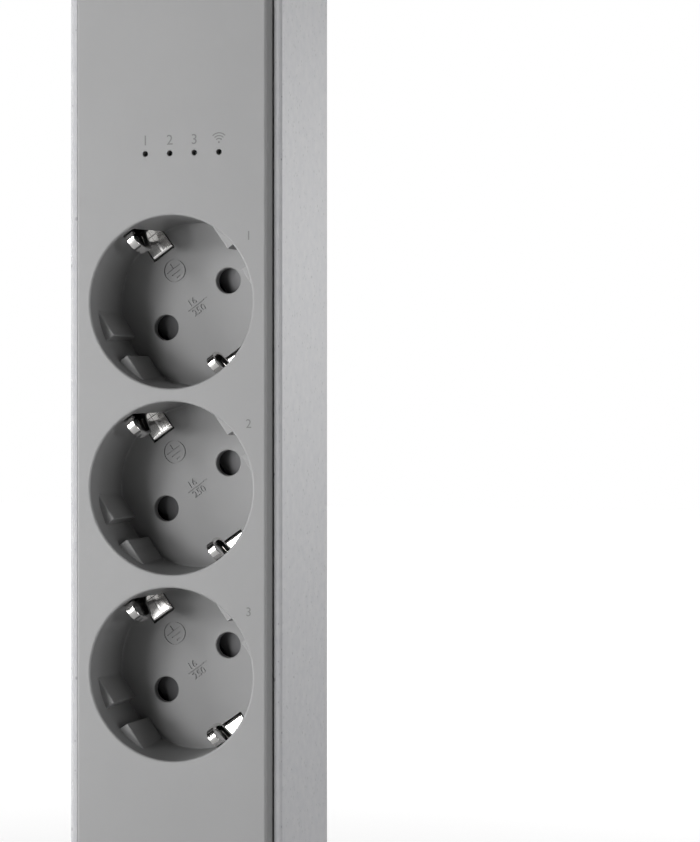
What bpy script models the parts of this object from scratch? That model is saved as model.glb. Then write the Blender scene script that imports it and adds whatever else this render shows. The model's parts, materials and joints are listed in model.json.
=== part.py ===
"""Upright power strip with three earthed sockets, status lights, a button and two USB ports.

The strip stands on its bottom end.  X is its width, Y its depth (the face looks towards -Y)
and Z its length.  Sizes are in millimetres, and place() turns them into metres.  A depth
is measured from the front face of the cover, into the strip.
"""
import math

import bmesh
import bpy
from mathutils import Vector

MM = 0.001

# Overall sizes
WIDTH = 52.0
LENGTH = 285.0
BODY_DEPTH = 39.0
PAD_PROUD = 0.5
FRONT = -(BODY_DEPTH + PAD_PROUD) / 2

# Housing tray and front cover
RIM_DEPTH = 2.5
WALL = 1.85
GROOVE = 1.0
GROOVE_FLOOR = 8.0
GROOVE_CORNER = 2.0
HOLLOW_CORNER = 1.6
FIT_GAP = 0.3
OVERLAP = 0.5
CLEAR = 1.0
TRAY_FLOOR = 37.2
TRAY_CORNER = 3.5
RIM_ROUND = 0.9
BACK_ROUND = 3.0
PLATE = 2.0
SKIRT_END = 10.0
COVER_WALL = 1.6
COVER_CORNER = 2.3
COVER_HOLLOW_CORNER = 0.8
COVER_BOSS_R = 3.2
COVER_BOSS_END = 33.2
PILOT_R = 1.6
PILOT_TOP = 22.0
COVER_HALF = WIDTH / 2 - WALL - FIT_GAP
COVER_LOW = WALL + FIT_GAP
COVER_HIGH = LENGTH - WALL - FIT_GAP

# Outside of the cover as (inset, depth): the edge of the face, a flank that slopes out to the
# rim of the tray, and a narrower skirt behind the ledge of the tray
SKIRT_INSET = GROOVE - FIT_GAP
FLANK_END = GROOVE_FLOOR - FIT_GAP
COVER_PROFILE = ((1.2, 0.0), (0.96, 0.06), (0.8, 0.2), (0.7, 0.45), (0.0, 2.7), (0.0, FLANK_END),
                 (SKIRT_INSET, FLANK_END), (SKIRT_INSET, SKIRT_END))

# Sockets, lowest first
SOCKET_PITCH = 42.75
SOCKET_Z = [135.0 + SOCKET_PITCH * step for step in (-1, 0, 1)]
SOCKET_TURN = math.radians(35)
MOUTH_R = 19.85
WELL_FLOOR_R = 19.25
WELL_DEPTH = 17.5
WELL_WALL = 1.3
WELL_TOP = PLATE + FIT_GAP
WELL_BASE = WELL_DEPTH + PLATE
PIN_SPACING = 19.0
PIN_HOLE_R = 3.0
RIB_FACE = 17.06
RIB_TOP = 4.3
RIB_NOTCH = 5.6
SLOT_TOP = 2.2
SLOT_TOP_WIDTH = 3.1
SLOT_WIDTH = 6.2
SLOT_INNER = 14.4
SLOT_OUTER = 23.5
SLOT_FROM = 17.9
SLOT_STEP = 0.05
SLOT_END = WELL_DEPTH - 0.4
FLOOR_SLOT_TOP = WELL_DEPTH - 0.7
RIB_OUTER = 24.0
RIB_SIDE = 14.0

# Shutters, under the well floors
SHUTTER_THICK = 2.8
SHUTTER_RAMP = 2.1
SHUTTER_LIP = 0.6
SHUTTER_END_BAR = 0.9
RAMP_HALF = PIN_HOLE_R + 0.2
WINDOW_HALF = 3.2
SHUTTER_TOP = WELL_BASE + FIT_GAP
SHUTTER_BOTTOM = SHUTTER_TOP + SHUTTER_THICK
SHUTTER_HALF = 4.6
WINDOW = 6.4
SHUTTER_END = 13.3
SPRING_STOP = 21.6
SPRING_STOP_THICK = 1.4
SPRING_STOP_HALF = 2.2
SHUTTER_COIL = {"radius": 1.0, "wire": 0.2, "turns": 5, "steps": 8, "sides": 4}

# Contacts
BLOCK_TOP = 23.2
BLOCK_BOTTOM = 33.6
BLOCK_HALF_X = 19.4
BLOCK_HALF_Z = 14.8
CLIP_GAP_HALF = 3.4
CLIP_GAP_V = (13.6, 24.0)
CLIP_GAP_TOP = 19.2
SLEEVE_R = 3.5
SLEEVE_BORE = 2.7
SLEEVE_TOP = 24.2
SLEEVE_GAP = 0.4
SLIT_HALF = 0.5
SLIT_END = 31.0
RAIL_TOP = 35.3
RAIL_THICK = 0.8
RAIL_HALF = 1.5
RAIL_FOOT = 4.0
EARTH_RAIL_FOOT = 14.0
LIVE_STRIPS_X = ((13.6, 14.9), (11.8, 13.1))
RAIL_END = 203.0

# Earth clip: a strip from the saddle behind a well, along its floor slot, up behind its wall,
# back in and round a curl at the mouth.  Points and bends are in (across, depth).
STRIP_THICK = 0.7
CLIP_BASE = BLOCK_BOTTOM + FIT_GAP + STRIP_THICK / 2
CLIP_FOOT = WELL_DEPTH + STRIP_THICK / 2
CLIP_BASE_BEND = ((14.05, CLIP_BASE - 1.0), 1.0)
CLIP_FOOT_BEND = ((15.5, CLIP_FOOT + 0.45), 0.45)
CLIP_HEEL_BEND = ((19.6, CLIP_FOOT - 0.6), 0.6)
CLIP_TAIL = ((20.2, 11.9), (19.9, 11.1), (19.2, 10.5), (17.4, 9.4), (16.4, 8.75), (15.5, 8.0), (15.05, 7.2),
             (14.9, 5.4), (15.1, 4.2))
CLIP_CURL = ((17.4, 3.2), 1.95)
CLIP_TIP = 4.2
CLIP_WIDTHS = {"base": 4.4, "bend": 4.8, "foot": 5.6, "heel": 4.0, "tail": 2.4, "curl": 2.0}

# Control end
LED_Z = 211.8
LED_X = [-6.17 + 6.0 * step for step in range(4)]
LED_HOLE_R = 0.65
GUIDE_BAR = (8.5, 11.2)
GUIDE_MARGIN_X = 2.0
GUIDE_HALF_Z = 1.5
GUIDE_FINGER = ((0.4, 1.3), (0.4, 2.2), (0.9, 2.6), (0.9, 9.0))
BOARD_TOP = 12.0
BOARD_THICK = 1.6
BOARD_BACK = BOARD_TOP + BOARD_THICK
PART_SEAT = BOARD_BACK + FIT_GAP
BOARD_HALF_X = 20.5
BOARD_Z = (201.0, 271.0)
BOARD_BEVEL = 0.8
BUTTON_Z = 256.0
BUTTON_R = 6.0
BUTTON_PROFILE = ((5.7, 0.15), (BUTTON_R, 0.45), (BUTTON_R, 2.6), (7.2, 2.6), (7.2, 3.5), (1.8, 3.5),
                  (1.8, 7.4))
BUTTON_COIL = {"radius": 4.9, "wire": 0.3, "turns": 3, "steps": 12, "sides": 5}
BUTTON_COIL_DEPTH = (4.1, 11.4)
SWITCH_BODY = ((-3.0, 3.0), (9.2, 11.7), (-3.0, 3.0))
SWITCH_PLUNGER = ((1.7, 8.5), (1.7, 10.0))
RELAY_X = (-13.0, 0.0, 13.0)
RELAY_Z = 214.5
RELAY_BODY = ((-5.8, 5.8), (0, 15.0), (-9.5, 9.5))
RELAY_BEVEL = 0.5
COIL_BEVEL = 1.0
TRANSFORMER_BODY = ((-8.0, 8.0), (0, 14.0), (-8.0, 8.0))
TRANSFORMER_AT = (-10.0, PART_SEAT, 236.0)
MAINS_CAPACITOR = ((4.6, 0), (5.0, 0.4), (5.0, 15.6), (4.6, 16.0))
MAINS_CAPACITOR_AT = (9.0, PART_SEAT, 236.0)
VARISTOR = ((4.4, -2.0), (5.0, -1.4), (5.0, 1.4), (4.4, 2.0))
VARISTOR_AT = (-12.0, PART_SEAT + 5.3, 250.5)
FUSE = ((2.6, -10), (2.6, -5), (2.3, -5), (2.3, 5), (2.6, 5), (2.6, 10))
FUSE_AT = (0, PART_SEAT + 2.9, 261.0)
WIFI_BOARD = ((-8.0, 8.0), (10.6, 11.7), (220.0, 244.0))
WIFI_CAN = ((-7.0, 7.0), (8.6, 11.0), (221.0, 237.0))

# USB end: each port has (half width, half height) of its face hole, shell, cavity and tongue
USB_BOARD_HALF_X = 20.0
USB_BOARD_Z = (14.0, 68.0)
PORT_DEPTH = (0.4, BOARD_TOP - FIT_GAP)
USB_A_Z = 19.5
USB_A_HOLE = (6.9, 3.2)
USB_A_SHELL = (6.55, 2.85)
USB_A_CAVITY = (6.15, 2.45)
USB_A_CAVITY_END = 10.4
USB_A_TONGUE = ((-5.4, 5.4), (1.4, 11.0), (USB_A_Z + 0.3, USB_A_Z + 1.9))
USB_C_Z = 30.5
USB_C_HOLE = (4.9, 2.0)
USB_C_SHELL = (4.55, 1.65)
USB_C_CAVITY = (4.2, 1.3)
USB_C_CAVITY_END = 8.4
USB_C_FLAT = 0.05
USB_C_TONGUE = ((-3.3, 3.3), (1.2, 9.0), (USB_C_Z - 0.35, USB_C_Z + 0.35))
USB_TRANSFORMER = ((-9.0, 9.0), (0, 14.0), (-9.0, 9.0))
USB_TRANSFORMER_AT = (-6.0, PART_SEAT, 54.0)
USB_CAPACITOR = ((3.6, 0), (4.0, 0.4), (4.0, 15.6), (3.6, 16.0))
USB_CAPACITOR_AT = (11.0, PART_SEAT, 34.0)

# Cable inlet, at the top end
INLET_DEPTH = 26.0
INLET_HOLE_R = 6.3
INLET_BORE_R = 3.9
INLET_LIP = 1.2
INLET_LIP_THICK = 0.9
INLET_LIP_BEVEL = 0.4
INLET_FLANGE_THICK = 2.0
INLET_SEAT_GAP = 1.0
CLAMP_Z = 274.5
CLAMP_SCREW_X = 9.0
CLAMP_POST = ((3.0, 23.0), (3.0, TRAY_FLOOR + OVERLAP))
CLAMP_POST_BORE = ((1.5, 22.0), (1.5, 31.0))
CLAMP_SADDLE = ((-4.5, 4.5), (30.2, TRAY_FLOOR + OVERLAP), (CLAMP_Z - 2.0, CLAMP_Z + 2.0))
CLAMP_BAR = ((-12.5, 12.5), (19.6, 22.7), (CLAMP_Z - 2.5, CLAMP_Z + 2.5))
CLAMP_BEVEL = 0.4
CLAMP_HOLE = ((1.5, 19.0), (1.5, 24.0))
CLAMP_SCREW = ((2.3, 17.6), (2.3, 19.3), (1.2, 19.3), (1.2, 29.5))
CLAMP_RECESS = (2.3, (17.0, 18.4))

# Fasteners and feet
SCREW_X = 19.0
SCREW_Z = (10.0, 156.4, 276.0)
SCREW = ((1.3, 24.0), (1.3, 36.4), (2.5, 36.4), (2.5, 38.0), (2.0, 38.5))
SCREW_RECESS = (2.5, (37.4, 39.0))
RECESS_ARM = 0.62
RECESS_HALF = 0.16
TRAY_BOSS = ((3.7, 33.5), (3.7, TRAY_FLOOR + OVERLAP))
TRAY_BORE = ((1.7, 33.0), (1.7, 36.1), (2.8, 36.1), (2.8, 40.0))
PAD_X = 17.0
PAD_Z = (24.0, 261.0)
PAD_R = 5.0
PAD_SEAT = 38.6
PAD_POCKET = ((PAD_R + FIT_GAP, PAD_SEAT - FIT_GAP), (PAD_R + FIT_GAP, BODY_DEPTH + CLEAR))
PAD_ROUND = 0.3

FINISHES = {
    "recycled_housing": ((0.56, 0.565, 0.575), 0.55, 0.0),
    "cover_grey": ((0.30, 0.30, 0.305), 0.5, 0.0),
    "shutter_grey": ((0.12, 0.12, 0.125), 0.5, 0.0),
    "block_black": ((0.04, 0.04, 0.042), 0.5, 0.0),
    "relay_black": ((0.03, 0.03, 0.035), 0.4, 0.0),
    "board_green": ((0.05, 0.22, 0.09), 0.45, 0.0),
    "capacitor_yellow": ((0.75, 0.55, 0.10), 0.45, 0.0),
    "nickel_spring": ((0.80, 0.79, 0.77), 0.18, 1.0),
    "brass_contact": ((0.78, 0.60, 0.28), 0.3, 1.0),
    "steel_screw": ((0.62, 0.62, 0.62), 0.3, 1.0),
    "clear_guide": ((0.85, 0.88, 0.90), 0.1, 0.0),
    "rubber_black": ((0.025, 0.025, 0.025), 0.85, 0.0),
}


def clear_scene():
    for item in list(bpy.data.objects):
        bpy.data.objects.remove(item, do_unlink=True)


def finish(slot):
    """The plain material of one kind of piece."""
    found = bpy.data.materials.get(slot)
    if found:
        return found
    colour, roughness, metallic = FINISHES[slot]
    made = bpy.data.materials.new(slot)
    made.use_nodes = True
    shader = made.node_tree.nodes["Principled BSDF"]
    shader.inputs["Base Color"].default_value = (*colour, 1.0)
    shader.inputs["Roughness"].default_value = roughness
    shader.inputs["Metallic"].default_value = metallic
    return made


def place(x, depth, z):
    return Vector((x, FRONT + depth, z)) * MM


def skin(rings, loop=False):
    """A closed body through rings of points: capped at both ends, or looped round."""
    bm = bmesh.new()
    rows = [[bm.verts.new(point) for point in ring] for ring in rings]
    count = len(rows[0])
    pairs = list(zip(rows, rows[1:]))
    if loop:
        pairs.append((rows[-1], rows[0]))
    else:
        bm.faces.new(rows[0])
        bm.faces.new(rows[-1])
    for row, following in pairs:
        for i in range(count):
            j = (i + 1) % count
            bm.faces.new((row[i], row[j], following[j], following[i]))
    bmesh.ops.recalc_face_normals(bm, faces=bm.faces)
    return bm


def add(name, bm, slot="", at=None, parent=None):
    """Makes the object: at is (x, depth, z) in the strip, or a point in the parent's frame."""
    bmesh.ops.scale(bm, vec=(MM, MM, MM), verts=bm.verts)
    mesh = bpy.data.meshes.new(name)
    bm.to_mesh(mesh)
    bm.free()
    item = bpy.data.objects.new(name, mesh)
    bpy.context.scene.collection.objects.link(item)
    if parent:
        item.parent = parent
        item.location = Vector(at or (0, 0, 0)) * MM
    else:
        item.location = place(*(at or (0, 0, 0)))
    if slot:
        mesh.materials.append(finish(slot))
        mesh.shade_smooth()
        mesh.set_sharp_from_angle(angle=math.radians(30))
    return item


def combine(target, tools, operation):
    """Cuts tools from the target, or joins them to it, and hides them."""
    for tool in tools:
        modifier = target.modifiers.new(operation.lower(), "BOOLEAN")
        modifier.operation = operation
        modifier.solver = "EXACT"
        modifier.object = tool
        tool.hide_render = True
        tool.display_type = "WIRE"


def cut(target, *tools):
    combine(target, tools, "DIFFERENCE")


def join(target, *tools):
    combine(target, tools, "UNION")


def bevel(item, width, segments=1, angle=40):
    modifier = item.modifiers.new("edge", "BEVEL")
    modifier.width = width * MM
    modifier.segments = segments
    modifier.limit_method = "ANGLE"
    modifier.angle_limit = math.radians(angle)


def box(x, depth, z):
    """A block between the two limits on each axis."""
    corners = ((x[0], z[0]), (x[1], z[0]), (x[1], z[1]), (x[0], z[1]))
    return skin([[(a, d, b) for a, b in corners] for d in depth])


def circle(radius, sides, turn=0.0):
    angles = [2 * math.pi * (i + turn) / sides for i in range(sides)]
    return [(radius * math.cos(a), radius * math.sin(a)) for a in angles]


def round_bar(profile, sides=16, axis="Y"):
    """Circles of (radius, distance) along one axis, capped at both ends."""
    rings = []
    for radius, distance in profile:
        points = circle(radius, sides)
        if axis == "X":
            rings.append([(distance, a, b) for a, b in points])
        elif axis == "Y":
            rings.append([(a, distance, b) for a, b in points])
        else:
            rings.append([(a, b, distance) for a, b in points])
    return skin(rings)


def turned_ring(profile, sides=24, axis="Y"):
    """A closed profile of (radius, distance) turned about one axis, with an open bore."""
    rings = []
    for a, b in circle(1.0, sides):
        if axis == "Y":
            rings.append([(r * a, t, r * b) for r, t in profile])
        else:
            rings.append([(r * a, r * b, t) for r, t in profile])
    return skin(rings, loop=True)


def rounded_outline(half_x, low, high, corner, inset, depth, steps=5):
    """An upright rectangle with round corners, moved in by an inset."""
    radius = corner - inset
    points = []
    centres = ((1, 1), (-1, 1), (-1, -1), (1, -1))
    for quarter, (side, end) in enumerate(centres):
        cx = side * (half_x - corner)
        cz = high - corner if end > 0 else low + corner
        for step in range(steps + 1):
            angle = math.pi / 2 * (quarter + step / steps)
            points.append((cx + radius * math.cos(angle), depth, cz + radius * math.sin(angle)))
    return points


def rounded_case(half_x, z, depth, corner, front_round=0.0, back_round=0.0, steps=4):
    """A block with round corners, whose front and back edges are rounded."""
    low, high = z
    front, back = depth
    stations = []
    for step in range(steps + 1 if front_round else 1):
        turn = math.pi / 2 * step / steps
        stations.append((front_round * (1 - math.sin(turn)), front + front_round * (1 - math.cos(turn))))
    for step in range(steps + 1 if back_round else 1):
        turn = math.pi / 2 * step / steps
        stations.append((back_round * (1 - math.cos(turn)), back - back_round * (1 - math.sin(turn))))
    return skin([rounded_outline(half_x, low, high, corner, inset, d) for inset, d in stations])


def ribbon(stations, thickness):
    """A bent strip: stations of (across, depth, width) along its middle line."""
    rings = []
    last = len(stations) - 1
    for i, (v, d, width) in enumerate(stations):
        before, after = stations[max(i - 1, 0)], stations[min(i + 1, last)]
        along = Vector((after[0] - before[0], after[1] - before[1])).normalized()
        nv, nd = -along.y * thickness / 2, along.x * thickness / 2
        half = width / 2
        rings.append([(half, d + nd, v + nv), (half, d - nd, v - nv),
                      (-half, d - nd, v - nv), (-half, d + nd, v + nv)])
    return skin(rings)


def coil(radius, wire, start, end, turns, steps, sides, axis="Y"):
    """A coil spring whose wire follows a helix along one axis."""
    rings = []
    total = turns * steps
    pitch = (end - start) / total
    lean = math.atan2(pitch * steps, 2 * math.pi * radius)
    for i in range(total + 1):
        angle = 2 * math.pi * i / steps
        ring = []
        for a, b in circle(wire, sides):
            r = radius + a
            side = -b * math.sin(lean)
            x = r * math.cos(angle) - side * math.sin(angle)
            y = r * math.sin(angle) + side * math.cos(angle)
            t = start + pitch * i + b * math.cos(lean)
            ring.append((x, t, y) if axis == "Y" else (t, x, y))
        rings.append(ring)
    return skin(rings)


def cross_recess(name, at, radius, depth):
    """Two crossed blocks that cut the recess of a screw head."""
    arm, half = radius * RECESS_ARM, radius * RECESS_HALF
    first = add(name + "_cut_a", box((-arm, arm), depth, (-half, half)), at=at)
    second = add(name + "_cut_b", box((-half, half), depth, (-arm, arm)), at=at)
    return first, second


def screw_places():
    return [(side * SCREW_X, z) for z in SCREW_Z for side in (-1, 1)]


def pad_places():
    return [(side * PAD_X, z) for z in PAD_Z for side in (-1, 1)]


# Housing and cover

def make_housing_tray():
    """The outer shell: walls, back, screw bosses and the posts of the cord clamp."""
    tray = add("housing_tray", rounded_case(WIDTH / 2, (0, LENGTH), (RIM_DEPTH, BODY_DEPTH), TRAY_CORNER,
                                            RIM_ROUND, BACK_ROUND), "recycled_housing")
    groove_half = WIDTH / 2 - WALL
    cavity = add("tray_groove_cut",
                 rounded_case(groove_half, (WALL, LENGTH - WALL), (0, GROOVE_FLOOR), GROOVE_CORNER))
    lower = GROOVE - FIT_GAP
    hollow = add("tray_hollow_cut",
                 rounded_case(groove_half - lower, (WALL + lower, LENGTH - WALL - lower),
                              (GROOVE_FLOOR - CLEAR, TRAY_FLOOR), HOLLOW_CORNER))
    cut(tray, cavity, hollow)
    for number, (x, z) in enumerate(screw_places(), 1):
        join(tray, add(f"tray_boss_{number}", round_bar(TRAY_BOSS), at=(x, 0, z)))
        cut(tray, add(f"tray_bore_{number}", round_bar(TRAY_BORE), at=(x, 0, z)))
    for number, (x, z) in enumerate(pad_places(), 1):
        cut(tray, add(f"pad_pocket_{number}", round_bar(PAD_POCKET), at=(x, 0, z)))
    for side in (-1, 1):
        at = (side * CLAMP_SCREW_X, 0, CLAMP_Z)
        join(tray, add(f"clamp_post_{side}", round_bar(CLAMP_POST, 12), at=at))
        cut(tray, add(f"clamp_bore_{side}", round_bar(CLAMP_POST_BORE, 12), at=at))
    join(tray, add("clamp_saddle", box(*CLAMP_SADDLE)))
    inlet = [(INLET_HOLE_R, LENGTH - 2 * WALL), (INLET_HOLE_R, LENGTH + CLEAR)]
    cut(tray, add("inlet_cut", round_bar(inlet, 24, "Z"), at=(0, INLET_DEPTH, 0)))


def usb_a_box(size, depth):
    return box((-size[0], size[0]), depth, (USB_A_Z - size[1], USB_A_Z + size[1]))


def usb_c_slot(size, depth):
    return rounded_case(size[0], (USB_C_Z - size[1], USB_C_Z + size[1]), depth, size[1] - USB_C_FLAT)


def face_hole_cutters():
    """The holes of the status lights, the button and the two USB ports."""
    cutters = []
    for number, x in enumerate(LED_X, 1):
        hole = round_bar([(LED_HOLE_R, -CLEAR), (LED_HOLE_R, PLATE + CLEAR)], 12)
        cutters.append(add(f"led_hole_{number}", hole, at=(x, 0, LED_Z)))
    button_r = BUTTON_R + FIT_GAP
    button = round_bar([(button_r, -CLEAR), (button_r, PLATE + CLEAR)], 24)
    cutters.append(add("button_hole", button, at=(0, 0, BUTTON_Z)))
    cutters.append(add("usb_a_hole", usb_a_box(USB_A_HOLE, (-CLEAR, PLATE + CLEAR))))
    cutters.append(add("usb_c_hole", usb_c_slot(USB_C_HOLE, (-CLEAR, PLATE + CLEAR))))
    return cutters


def make_front_cover(frames):
    """The face plate with its skirt, its screw bosses and the three socket mouths."""
    outside = skin([rounded_outline(COVER_HALF, COVER_LOW, COVER_HIGH, COVER_CORNER, inset, depth)
                    for inset, depth in COVER_PROFILE])
    cover = add("front_cover", outside, "cover_grey")
    wall = SKIRT_INSET + COVER_WALL
    under = add("cover_hollow_cut", rounded_case(COVER_HALF - wall, (COVER_LOW + wall, COVER_HIGH - wall),
                                                 (PLATE, SKIRT_END + CLEAR), COVER_HOLLOW_CORNER))
    cut(cover, under, *face_hole_cutters())
    for number, frame in enumerate(frames, 1):
        mouth = round_bar([(MOUTH_R, -CLEAR), (MOUTH_R, PLATE + CLEAR)], 48)
        cut(cover, add(f"mouth_cut_{number}", mouth, parent=frame))
    for number, (x, z) in enumerate(screw_places(), 1):
        boss = round_bar([(COVER_BOSS_R, PLATE / 2), (COVER_BOSS_R, COVER_BOSS_END)], 12)
        join(cover, add(f"cover_boss_{number}", boss, at=(x, 0, z)))
        pilot = round_bar([(PILOT_R, PILOT_TOP), (PILOT_R, COVER_BOSS_END + CLEAR)], 12)
        cut(cover, add(f"cover_pilot_{number}", pilot, at=(x, 0, z)))


# Socket parts, in the frame of each socket: X along the pin axis, Z across it

def well_cutter(number, frame):
    """The inside of one socket, less the two guide ribs at the ends of the pin axis."""
    mouth = MOUTH_R + (MOUTH_R - WELL_FLOOR_R) / WELL_DEPTH
    taper = round_bar([(mouth, -CLEAR), (WELL_FLOOR_R, WELL_DEPTH)], 48)
    well = add(f"well_cut_{number}", taper, parent=frame)
    for end in (-1, 1):
        for side in (-1, 1):
            u = sorted((end * RIB_FACE, end * RIB_OUTER))
            v = sorted((side * RIB_NOTCH / 2, side * RIB_SIDE))
            rib = add(f"rib_{number}_{end}_{side}", box(u, (RIB_TOP, WELL_DEPTH + CLEAR), v), parent=frame)
            cut(well, rib)
    return well


def clip_slot_cutters(number, frame):
    """The slots in the wall and the floor that an earth clip springs through."""
    cutters = []
    top, low, half = SLOT_TOP_WIDTH / 2, SLOT_WIDTH / 2 - SLOT_STEP, SLOT_WIDTH / 2
    for side in (-1, 1):
        wall = [[(-top, SLOT_TOP, v), (top, SLOT_TOP, v), (low, SLOT_END, v), (-low, SLOT_END, v)]
                for v in (side * SLOT_FROM, side * SLOT_OUTER)]
        cutters.append(add(f"wall_slot_{number}_{side}", skin(wall), parent=frame))
        v = sorted((side * SLOT_INNER, side * SLOT_OUTER))
        floor = box((-half, half), (FLOOR_SLOT_TOP, WELL_BASE + CLEAR), v)
        cutters.append(add(f"floor_slot_{number}_{side}", floor, parent=frame))
    return cutters


def make_socket_well(number, frame):
    """The cup behind one mouth, with its guide ribs, clip slots and pin holes."""
    profile = [(MOUTH_R + WELL_WALL, WELL_TOP), (WELL_FLOOR_R + WELL_WALL, WELL_BASE)]
    well = add(f"socket_well_{number}", round_bar(profile, 48), "cover_grey", parent=frame)
    cut(well, well_cutter(number, frame), *clip_slot_cutters(number, frame))
    for end in (-1, 1):
        hole = round_bar([(PIN_HOLE_R, WELL_DEPTH - CLEAR), (PIN_HOLE_R, WELL_BASE + CLEAR)], 24)
        cut(well, add(f"pin_hole_{number}_{end}", hole, at=(end * PIN_SPACING / 2, 0, 0), parent=frame))


def make_shutter(number, frame):
    """A sliding plate with a ramp under each pin hole and a window beside each ramp."""
    half_pin, ramp, lip = PIN_SPACING / 2, RAMP_HALF, SHUTTER_LIP
    top, low, bottom = SHUTTER_TOP, SHUTTER_TOP + SHUTTER_RAMP, SHUTTER_BOTTOM
    left = -half_pin - ramp - WINDOW - SHUTTER_END_BAR
    profile = [(left, bottom), (SHUTTER_END, bottom), (SHUTTER_END, top), (half_pin + ramp, top),
               (half_pin - ramp, low), (half_pin - ramp - lip, top), (-half_pin + ramp, top),
               (-half_pin - ramp, low), (-half_pin - ramp - lip, top), (left, top)]
    plate = skin([[(u, d, v) for u, d in profile] for v in (-SHUTTER_HALF, SHUTTER_HALF)])
    shutter = add(f"shutter_{number}", plate, "shutter_grey", parent=frame)
    for end in (-1, 1):
        edge = end * half_pin - ramp
        window = box((edge - WINDOW, edge), (top - CLEAR, bottom + CLEAR), (-WINDOW_HALF, WINDOW_HALF))
        cut(shutter, add(f"shutter_window_{number}_{end}", window, parent=frame))


def make_shutter_spring(number, frame):
    start = SHUTTER_END + FIT_GAP + SHUTTER_COIL["wire"]
    middle = (SHUTTER_TOP + SHUTTER_BOTTOM) / 2
    spring = coil(start=start, end=SPRING_STOP - FIT_GAP, axis="X", **SHUTTER_COIL)
    add(f"shutter_spring_{number}", spring, "nickel_spring", at=(0, middle, 0), parent=frame)


def make_contact_block(number, frame, centre_z):
    """The insulating base that holds the contacts, with the stop of the shutter spring."""
    block = add(f"contact_block_{number}",
                box((-BLOCK_HALF_X, BLOCK_HALF_X), (BLOCK_TOP, BLOCK_BOTTOM), (-BLOCK_HALF_Z, BLOCK_HALF_Z)),
                "block_black", at=(0, 0, centre_z))
    stop = box((SPRING_STOP, SPRING_STOP + SPRING_STOP_THICK), (SHUTTER_TOP, BLOCK_TOP + CLEAR),
               (-SPRING_STOP_HALF, SPRING_STOP_HALF))
    join(block, add(f"spring_stop_{number}", stop, parent=frame))
    for end in (-1, 1):
        radius = SLEEVE_R + SLEEVE_GAP
        bore = round_bar([(radius, BLOCK_TOP - CLEAR), (radius, BLOCK_BOTTOM + CLEAR)])
        cut(block, add(f"sleeve_bore_{number}_{end}", bore, at=(end * PIN_SPACING / 2, 0, 0), parent=frame))
        v = sorted(end * value for value in CLIP_GAP_V)
        slot = box((-CLIP_GAP_HALF, CLIP_GAP_HALF), (CLIP_GAP_TOP, BLOCK_BOTTOM + CLEAR), v)
        cut(block, add(f"clip_gap_{number}_{end}", slot, parent=frame))


def arc_stations(centre, radius, start, end, width, steps=3):
    """Stations on a round bend: angles in degrees, in the plane of across and depth."""
    points = []
    for step in range(steps + 1):
        angle = math.radians(start + (end - start) * step / steps)
        points.append((centre[0] + radius * math.cos(angle), centre[1] + radius * math.sin(angle), width))
    return points


def clip_arm():
    """One arm of the earth clip, from the middle of its base to the tip of its curl."""
    widths = CLIP_WIDTHS
    arm = [(0.0, CLIP_BASE, widths["base"])]
    arm += arc_stations(*CLIP_BASE_BEND, 90, 0, widths["bend"])
    arm += arc_stations(*CLIP_FOOT_BEND, 180, 270, widths["foot"])
    arm += arc_stations(*CLIP_HEEL_BEND, 90, 0, widths["foot"])
    turn, following = CLIP_TAIL[0], CLIP_TAIL[1:]
    arm.append((*turn, widths["heel"]))
    arm += [(v, d, widths["tail"] if v > CLIP_CURL[0][0] else widths["curl"]) for v, d in following]
    arm += arc_stations(*CLIP_CURL, 180, 360, widths["curl"], 8)
    arm.append((CLIP_CURL[0][0] + CLIP_CURL[1], CLIP_TIP, widths["curl"]))
    return arm


def make_earth_clip(number, frame):
    """A sprung saddle with one curled arm on each side of the socket."""
    arm = clip_arm()
    path = [(-v, d, width) for v, d, width in reversed(arm[1:])] + arm
    add(f"earth_clip_{number}", ribbon(path, STRIP_THICK), "nickel_spring", parent=frame)


def pin_point(centre_z, end):
    reach = end * PIN_SPACING / 2
    return reach * math.cos(SOCKET_TURN), centre_z + reach * math.sin(SOCKET_TURN)


def contact_sleeve(name, x, z):
    """The split tube that grips one pin."""
    end = RAIL_TOP + RAIL_THICK / 2
    profile = [(SLEEVE_R, SLEEVE_TOP), (SLEEVE_R, end), (SLEEVE_BORE, end), (SLEEVE_BORE, SLEEVE_TOP)]
    sleeve = add(name, turned_ring(profile, 16), at=(x, 0, z))
    slit = box((-SLIT_HALF, SLIT_HALF), (SLEEVE_TOP - CLEAR, SLIT_END), (-SLEEVE_R - CLEAR, SLEEVE_R + CLEAR))
    cut(sleeve, add(name + "_slit", slit, at=(x, 0, z)))
    return sleeve


def make_neutral_rail():
    """One brass strip with the left-hand sleeve of every socket."""
    x = pin_point(0, -1)[0]
    low = pin_point(SOCKET_Z[0], -1)[1] - RAIL_FOOT
    strip = box((x - RAIL_HALF, x + RAIL_HALF), (RAIL_TOP, RAIL_TOP + RAIL_THICK), (low, RAIL_END))
    rail = add("neutral_rail", strip, "brass_contact")
    for number, centre in enumerate(SOCKET_Z, 1):
        join(rail, contact_sleeve(f"neutral_sleeve_{number}", *pin_point(centre, -1)))


def make_live_contact(number, centre_z):
    """The right-hand sleeve of one socket, with its own strip to its relay."""
    x, z = pin_point(centre_z, 1)
    low, high = (*LIVE_STRIPS_X, (x - RAIL_HALF, x + RAIL_HALF))[number - 1]
    depth = (RAIL_TOP, RAIL_TOP + RAIL_THICK)
    strip = box((low, high), depth, (z - RAIL_HALF, RAIL_END))
    contact = add(f"live_contact_{number}", strip, "brass_contact")
    if number <= len(LIVE_STRIPS_X):
        foot = box((x - RAIL_HALF, high), depth, (z - RAIL_HALF, z + RAIL_HALF))
        join(contact, add(f"live_foot_{number}", foot))
    join(contact, contact_sleeve(f"live_sleeve_{number}", x, z))


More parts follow.
